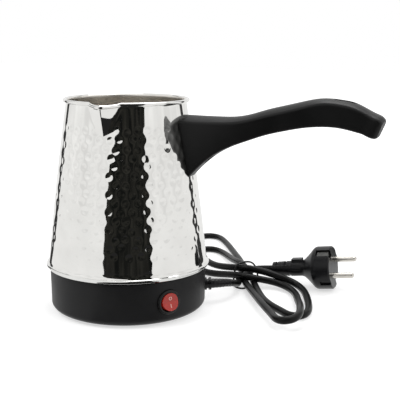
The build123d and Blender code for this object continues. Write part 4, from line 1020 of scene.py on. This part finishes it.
@dataclass
class MainsCord:
    """The mains cord: base, tied loops and plug on one curve. Millimetres, and its length in metres."""

    radius: float = 3.0
    length: float = 1.23
    exit: Point = (55.9, 28.5, 15.5)
    sleeve_start: float = 65.5
    sleeve_length: float = 22.0
    sleeve_r: float = 4.0
    sleeve_slack: float = 0.25
    sleeve_points: int = 97
    rib_height: float = 0.07
    ribs: float = 7.0
    tie_r: float = 0.85
    tie_flatness: float = 0.7
    tie_path: tuple[Point, ...] = (
        (63.2, 85.2, 16.6), (62.6, 83.8, 10.5), (63.0, 80.0, 4.6), (64.5, 75.0, 0.9), (73.0, 70.0, 0.8),
        (77.5, 75.0, 0.8), (80.5, 86.0, 1.0), (81.5, 93.5, 5.0), (79.0, 98.0, 12.0), (75.5, 96.5, 18.2),
        (70.5, 93.0, 19.4), (65.5, 88.0, 18.6),
    )
    route: tuple[Point, ...] = (
        (56.6, 28.8, 15.5), (60.0, 30.6, 15.5), (66.0, 35.0, 15.2), (71.0, 45.0, 13.6), (73.0, 57.0, 9.6),
        (71.0, 70.0, 5.4), (66.5, 84.0, 4.1), (61.8, 104.0, 3.5), (56.5, 127.0, 3.2), (47.5, 148.0, 3.2),
        (34.8, 169.0, 3.2), (19.0, 197.0, 3.2), (5.0, 219.0, 3.2), (-5.0, 231.5, 3.2), (-17.0, 233.5, 3.2),
        (-25.0, 224.0, 3.2), (-24.0, 206.0, 3.4), (-12.0, 178.0, 7.5), (0.0, 152.0, 11.2), (14.0, 128.0, 9.6),
        (31.0, 109.0, 8.4), (48.4, 96.0, 11.0), (64.3, 88.5, 14.2), (75.2, 87.8, 14.8), (84.1, 88.2, 13.8),
        (95.1, 87.0, 12.2), (104.3, 86.7, 10.0), (112.0, 88.0, 7.4), (120.0, 86.0, 4.8), (128.0, 76.5, 3.3),
        (135.2, 57.7, 3.2), (140.4, 41.6, 3.2), (143.8, 27.0, 3.2), (143.4, 17.0, 3.2), (138.8, 10.8, 3.2),
        (131.2, 11.2, 3.2), (124.4, 18.6, 3.2), (114.0, 27.0, 3.2), (103.2, 39.7, 3.2), (93.0, 57.7, 3.3),
        (83.4, 77.0, 4.0), (76.8, 92.0, 4.0), (69.5, 104.0, 5.2), (62.5, 113.0, 9.4), (54.0, 122.5, 9.6),
        (44.0, 137.0, 6.4), (33.4, 154.3, 4.2), (21.0, 171.5, 3.2), (10.0, 180.5, 3.2), (-1.0, 179.0, 3.2),
        (-7.0, 166.0, 3.2), (-4.0, 146.0, 3.2), (5.0, 125.0, 3.2), (19.0, 106.0, 3.3), (33.0, 96.5, 3.8),
        (46.0, 92.0, 5.2), (57.5, 86.0, 7.8), (67.4, 81.0, 9.4), (75.5, 79.0, 9.6), (84.5, 80.0, 8.6),
        (93.0, 83.2, 6.9), (102.0, 84.6, 5.4), (114.7, 79.0, 3.6), (124.0, 64.5, 3.5), (131.0, 42.0, 5.6),
        (138.0, 22.0, 9.4), (142.6, 5.0, 10.2), (144.0, -5.5, 9.8), (141.8, -13.8, 9.2), (135.4, -17.4, 8.4),
        (128.4, -13.2, 7.4), (122.6, -2.5, 6.8), (115.2, 8.5, 6.8), (104.2, 25.3, 7.0), (92.5, 45.9, 6.2),
        (80.5, 67.0, 4.9), (72.9, 81.5, 4.1), (69.6, 91.5, 6.6), (72.6, 99.0, 10.4), (81.0, 101.0, 11.8),
        (93.9, 100.4, 13.12), (98.9, 100.4, 13.76),
    )

    def build(self, finishes: Finishes) -> Object:
        """Builds and dresses the cord itself.

        Args:
            finishes: the appliance's finishes.

        Returns:
            The cord, as a round curve.
        """
        curve = bpy.data.curves.new("mains_cord", "CURVE")
        curve.dimensions = "3D"
        curve.bevel_depth = self.radius * MM
        curve.bevel_resolution = 6
        curve.resolution_u = 10
        curve.use_fill_caps = True
        spline = curve.splines.new("NURBS")
        spline.points.add(len(self.route) - 1)
        for point, place in zip(spline.points, self.route):
            point.co = (place[0] * MM, place[1] * MM, place[2] * MM, 1.0)
        spline.order_u = 4
        spline.use_endpoint_u = True
        piece = stand("mains_cord", curve)
        dress(piece, finishes["cord_sheath"])
        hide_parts("cord_lead", "cord_hank", "plug_lead")
        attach(piece, "appliance")
        LOG.info("mains cord")
        return piece

    def centre_line(self, cord: Object) -> np.ndarray:
        """Points along the middle of the cord, in metres.

        Args:
            cord: the finished cord.

        Returns:
            The points, from the base outwards.
        """
        bare = cord.data.copy()
        bare.bevel_depth = 0.0
        bare.use_fill_caps = False
        holder = bpy.data.objects.new("centre_line", bare)
        line = bpy.data.meshes.new_from_object(holder)
        points = np.array([tuple(v.co) for v in line.vertices])
        bpy.data.objects.remove(holder)
        bpy.data.meshes.remove(line)
        bpy.data.curves.remove(bare)
        return points

    def sleeve(self, cord: Object, finishes: Finishes) -> Object:
        """Builds the tapered, ribbed relief that the cord wears where it leaves the base.

        Args:
            cord: the finished cord.
            finishes: the appliance's finishes.

        Returns:
            The sleeve.
        """
        line = self.centre_line(cord)
        run = np.concatenate([[0.0], np.cumsum(np.linalg.norm(np.diff(line, axis=0), axis=1))])
        start = self.sleeve_start * MM - float(np.linalg.norm(self.exit[:2])) * MM
        stops = np.linspace(start, start + self.sleeve_length * MM, self.sleeve_points)
        path = np.stack([np.interp(stops, run, line[:, axis]) for axis in range(3)], 1)
        tree = GeometryTree("relief_sleeve")
        taken = tree.take(
            wide_radius=self.sleeve_r * MM,
            narrow_radius=(self.radius + self.sleeve_slack) * MM,
            rib_height=self.rib_height * MM,
            ribs=self.ribs,
            finish=finishes["plug_rubber"],
        ).outputs
        share = tree.add("GeometryNodeSplineParameter").outputs["Factor"]
        width = tree.minus(taken["narrow_radius"], taken["wide_radius"])
        plain = tree.plus(taken["wide_radius"], tree.times(width, share))
        wave = tree.math("COSINE", tree.times(tree.times(share, taken["ribs"]), 2 * math.pi))
        ribbed = tree.plus(plain, tree.times(wave, taken["rib_height"]))
        self.sweep(tree, taken, ribbed, 1.0)
        piece = self.line_piece("relief_sleeve", path, False)
        tree.apply(piece)
        piece = plain_copy(piece, finishes["plug_rubber"])
        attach(piece, "appliance")
        LOG.info("relief sleeve")
        return piece

    def sweep(self, tree: GeometryTree, taken: Any, radius: Any, flatness: float) -> None:
        """Ends a tree in a closed tube round its curve.

        Args:
            tree: the tree.
            taken: its inputs.
            radius: the tube's radius, a value or a field.
            flatness: the section's height as a share of its width.
        """
        circle = tree.add("GeometryNodeCurvePrimitiveCircle", {"Resolution": 20, "Radius": 1.0}).outputs[0]
        flattened = {"Geometry": circle, "Scale": (1.0, flatness, 1.0)}
        section = tree.add("GeometryNodeTransform", flattened).outputs[0]
        inputs = {"Curve": taken["Geometry"], "Profile Curve": section, "Scale": radius, "Fill Caps": True}
        tube = tree.add("GeometryNodeCurveToMesh", inputs)
        tree.finish(tube.outputs[0], taken["finish"])

    def line_piece(self, name: str, path: np.ndarray, closed: bool) -> Object:
        """Makes a bare curve object through points in metres.

        Args:
            name: its name.
            path: the points.
            closed: whether it closes on itself.

        Returns:
            The curve object.
        """
        curve = bpy.data.curves.new(name, "CURVE")
        curve.dimensions = "3D"
        spline = curve.splines.new("NURBS" if closed else "POLY")
        spline.points.add(len(path) - 1)
        for point, place in zip(spline.points, path):
            point.co = (*place, 1.0)
        if closed:
            spline.order_u = 4
            spline.use_cyclic_u = True
            spline.resolution_u = 8
        return stand(name, curve)

    def wire_tie(self, finishes: Finishes) -> Object:
        """Builds the thin sheathed wire that is bent round the bundle.

        Args:
            finishes: the appliance's finishes.

        Returns:
            The tie.
        """
        tree = GeometryTree("wire_tie")
        taken = tree.take(sheath_radius=self.tie_r * MM, finish=finishes["tie_sheath"]).outputs
        self.sweep(tree, taken, taken["sheath_radius"], self.tie_flatness)
        piece = self.line_piece("wire_tie", np.array(self.tie_path) * MM, True)
        tree.apply(piece)
        piece = plain_copy(piece, finishes["tie_sheath"])
        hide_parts("cord_tie")
        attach(piece, "appliance")
        LOG.info("wire tie")
        return piece


@dataclass
class Studio:
    """Camera, floor, lamps and the cards that polished metal mirrors. Metres, degrees."""

    lens: float = 77.089
    sensor: float = 36.0
    camera_place: Point = (0.29484, -0.60670, 0.22177)
    camera_turn: Point = (78.657, 0.228, 21.0)
    lamp_target: Point = (0.03, 0.02, 0.08)
    floor_half: float = 4.0
    floor_drop: float = 0.0002
    paper: Color = (0.5, 0.5, 0.5)
    glow_reach: Point2 = (0.25, 1.3)
    glow_strength: Point2 = (0.6, 0.9)
    world_light: float = 0.45
    mirror_white: float = 0.93
    mirror_drift: Point2 = (0.56, 0.38)
    card_columns: int = 24
    card_lift: float = 0.0006
    front_edges: tuple[Point, ...] = (
        (0.0, -96.8, -33.0), (0.014, -99.3, -31.6), (0.088, -96.4, -33.9), (0.174, -92.7, -34.9),
        (0.230, -83.8, -34.0), (0.289, -75.7, -31.7), (0.37, -66.0, -30.0), (0.75, -62.0, -29.0),
    )

    def camera(self) -> None:
        """Makes the camera and sets it as the scene's."""
        data = bpy.data.cameras.new("camera")
        data.lens = self.lens
        data.sensor_width = self.sensor
        data.clip_start = 0.01
        camera = stand("camera", data)
        pitch, roll, turn = (math.radians(a) for a in self.camera_turn)
        aim = Matrix.Rotation(turn, 4, "Z") @ Matrix.Rotation(pitch, 4, "X") @ Matrix.Rotation(roll, 4, "Z")
        camera.matrix_world = Matrix.Translation(Vector(self.camera_place)) @ aim
        bpy.context.scene.camera = camera

    def floor(self) -> None:
        """Makes the pale floor, which keeps the appliance's shadow."""
        half, z = self.floor_half, -self.floor_drop
        corners = [(-half, -half, z), (half, -half, z), (half, half, z), (-half, half, z)]
        floor = stand("floor", raw_mesh("floor", corners, [(0, 1, 2, 3)]))
        material, sheet = start_material("floor_paper")
        rays = sheet.add("ShaderNodeLightPath").outputs
        reach = sheet.add("ShaderNodeVectorMath", {0: sheet.place()}, operation="LENGTH").outputs["Value"]
        near, far = self.glow_reach
        low, high = self.glow_strength
        ramp = {"Value": reach, "From Min": near, "From Max": far, "To Min": low, "To Max": high}
        strength = sheet.add("ShaderNodeMapRange", ramp).outputs[0]
        paper = sheet.add("ShaderNodeBsdfDiffuse", {"Color": (*self.paper, 1.0)})
        glow = sheet.add("ShaderNodeEmission", {"Strength": sheet.times(rays["Is Camera Ray"], strength)})
        both = sheet.add("ShaderNodeAddShader", {0: paper.outputs[0], 1: glow.outputs[0]})
        mirrored = sheet.add("ShaderNodeEmission", {"Strength": self.mirror_white})
        inputs = {0: rays["Is Glossy Ray"], 1: both.outputs[0], 2: mirrored.outputs[0]}
        shown = sheet.add("ShaderNodeMixShader", inputs)
        sheet.add("ShaderNodeOutputMaterial", {0: shown.outputs[0]})
        dress(floor, material)

    def world(self) -> None:
        """Makes the white surroundings: plain for the lens, evenly soft for the light."""
        world = bpy.data.worlds.new("surroundings")
        world.use_nodes = True
        world.node_tree.nodes.clear()
        bpy.context.scene.world = world
        sheet = Sheet(world.node_tree)
        rays = sheet.add("ShaderNodeLightPath").outputs
        place = sheet.add("ShaderNodeTexCoord").outputs["Generated"]
        low, high = (self.mirror_white - drift for drift in self.mirror_drift)
        mirrored = sheet.times(rays["Is Glossy Ray"], sheet.spread(sheet.noise(place, 5.0, 1.0), low, high))
        seen = sheet.math("MAXIMUM", rays["Is Camera Ray"], rays["Is Transmission Ray"])
        shown = sheet.times(seen, 1.0 - self.world_light)
        strength = sheet.plus(sheet.plus(shown, mirrored), self.world_light)
        back = sheet.add("ShaderNodeBackground", {"Color": (1.0, 1.0, 1.0, 1.0), "Strength": strength})
        sheet.add("ShaderNodeOutputWorld", {0: back.outputs[0]})

    def lamp(self, name: str, place: Point, size: float, power: float, shine: bool) -> None:
        """Makes one soft square lamp.

        Args:
            name: its name.
            place: where it hangs.
            size: its side.
            power: its power in watts.
            shine: whether polished surfaces mirror it.
        """
        data = bpy.data.lights.new(name, "AREA")
        data.shape = "SQUARE"
        data.size = size
        data.energy = power
        lamp = stand(name, data)
        lamp.location = place
        lamp.rotation_mode = "QUATERNION"
        lamp.rotation_quaternion = (Vector(self.lamp_target) - Vector(place)).to_track_quat("-Z", "Y")
        lamp.visible_camera = False
        lamp.visible_glossy = shine

    def hang(self, card: Object, material: Material) -> None:
        """Args:
            card: the card.
            material: its tone.
        """
        dress(card, material)
        for ray in ("camera", "diffuse", "shadow", "transmission"):
            setattr(card, "visible_" + ray, False)

    def card(self, name: str, reach: float, edges: tuple[Point, ...], dark: Color, pale: Color) -> None:
        """Stands a curved card round the object that only mirrors see.

        Args:
            name: its name.
            reach: its distance from the pot's axis.
            edges: its height and the bearings of its two edges in degrees, from the floor up.
            dark: the tone of most of its upright bands.
            pale: the tone of its palest bands.
        """
        columns = self.card_columns
        points = []
        for height, start, end in edges:
            for turn in np.radians(np.linspace(start, end, columns + 1)):
                points.append((reach * math.cos(turn), reach * math.sin(turn), height))
        faces = []
        for row in range(len(edges) - 1):
            for column in range(columns):
                first = row * (columns + 1) + column
                faces.append((first, first + 1, first + columns + 2, first + columns + 1))
        card = stand(name, raw_mesh(name, points, faces))
        material, sheet = start_material(name)
        x, y, z = sheet.add("ShaderNodeSeparateXYZ", {0: sheet.place()}).outputs
        bearing = sheet.math("ARCTAN2", y, x)
        bands = sheet.noise(sheet.point(bearing, sheet.times(z, 0.8), 0.0), 9.0, 2.0)
        tone = sheet.blend(sheet.spread(bands, -0.3, 1.0), dark, pale)
        glow = sheet.add("ShaderNodeEmission", {"Color": tone, "Strength": 1.0})
        sheet.add("ShaderNodeOutputMaterial", {0: glow.outputs[0]})
        self.hang(card, material)

    def floor_card(self, name: str, reach: Point2, edges: Point2, tone: float) -> None:
        """Lays a dark card on the floor, which only polished metal mirrors.

        Args:
            name: its name.
            reach: its nearest and farthest distance from the pot's axis.
            edges: the bearings of its two edges in degrees.
            tone: how pale it is.
        """
        across = self.card_columns + 1
        points = []
        for distance in reach:
            for turn in np.radians(np.linspace(*edges, across)):
                points.append((distance * math.cos(turn), distance * math.sin(turn), self.card_lift))
        faces = [(k, k + across, k + across + 1, k + 1) for k in range(self.card_columns)]
        card = stand(name, raw_mesh(name, points, faces))
        material, sheet = start_material(name)
        glow = sheet.add("ShaderNodeEmission", {"Color": (tone, tone, tone, 1.0), "Strength": 1.0})
        sheet.add("ShaderNodeOutputMaterial", {0: glow.outputs[0]})
        self.hang(card, material)

    def build(self) -> None:
        """Sets up everything that isn't the appliance."""
        bpy.context.scene.view_settings.view_transform = "Standard"
        self.camera()
        self.floor()
        self.world()
        self.lamp("key_lamp", (-0.7, -0.9, 1.5), 0.9, 16.0, False)
        self.lamp("fill_lamp", (1.1, -0.5, 1.0), 0.9, 8.0, False)
        self.lamp("top_lamp", (0.1, 0.5, 1.7), 1.1, 14.0, True)
        self.card("front_card", 0.62, self.front_edges, (0.007, 0.0075, 0.007), (0.030, 0.029, 0.025))
        self.card("left_strip", 0.9, ((0.0, -206.0, -195.0), (0.9, -206.0, -197.0)), (0.03,) * 3, (0.06,) * 3)
        self.card("right_strip", 0.9, ((0.0, 52.0, 62.0), (0.9, 53.0, 62.0)), (0.03,) * 3, (0.06,) * 3)
        self.floor_card("front_floor_card", (0.068, 0.63), (-97.0, -33.0), 0.019)
        self.floor_card("left_floor_card", (0.12, 0.9), (-206.0, -194.0), 0.04)
        self.floor_card("right_floor_card", (0.2, 0.9), (51.0, 62.0), 0.04)
        LOG.info("studio")


class CadFinishes:
    """The finish of every piece that keeps its modelled shape."""

    named: dict[str, str] = {
        "pot_bottom": "liner_steel",
        "base_housing": "base_plastic",
        "bottom_cover": "base_plastic",
        "foot_ring": "foot_rubber",
        "cover_screws": "zinc_plate",
        "heat_plate": "cast_aluminium",
        "heating_element": "plain_steel",
        "element_insulators": "steatite",
        "thermostat": "cast_aluminium",
        "thermostat_clip": "zinc_plate",
        "thermal_fuse": "steatite",
        "heat_shield": "zinc_plate",
        "mounting_studs": "zinc_plate",
        "stud_spacers": "plain_steel",
        "stud_washers": "zinc_plate",
        "stud_nuts": "zinc_plate",
        "earth_tab": "brass_strip",
        "handle_bracket": "plain_steel",
        "handle": "handle_plastic",
        "handle_screw": "zinc_plate",
        "cord_bush": "plug_rubber",
        "cord_clamp": "base_plastic",
        "clamp_screws": "zinc_plate",
        "switch_housing": "switch_plastic",
        "rocker": "rocker_red",
        "switch_plunger": "brass_strip",
        "plunger_spring": "plain_steel",
        "contact_lever": "copper_strip",
        "terminal_common": "brass_strip",
        "terminal_load": "brass_strip",
        "terminal_lamp": "brass_strip",
        "switch_lamp": "lamp_glass",
        "live_wire": "wire_brown",
        "switched_wire": "wire_white",
        "link_wires": "wire_white",
        "neutral_wire": "wire_blue",
        "lamp_wire": "wire_blue",
        "earth_wire": "wire_green",
        "plug_body": "plug_rubber",
        "plug_pins": "nickel_pins",
        # The earth contacts take the metal that is darkened as painted shade.
        "earth_contacts": "earth_strip_painted_shade",
    }

    def dress(self, finishes: Finishes) -> None:
        """Dresses the modelled pieces.

        Args:
            finishes: the appliance's finishes.
        """
        for node, finish in self.named.items():
            dress(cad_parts[node], finishes[finish])
        LOG.info("modelled pieces: %d", len(self.named))


def main() -> None:
    """Builds the studio and the coffee maker, piece by piece."""
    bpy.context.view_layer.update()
    finishes = Finishes()
    Studio().build()
    cord = MainsCord()
    lead = cord.build(finishes)
    HammeredPot().build(finishes)
    TrimRing().build(finishes)
    RockerLegends().build(finishes)
    CadFinishes().dress(finishes)
    on_cord = [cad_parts[n] for n in ("plug_body", "plug_pins", "earth_contacts")]
    on_cord += [cord.sleeve(lead, finishes), cord.wire_tie(finishes)]


if __name__ == "__main__":
    main()
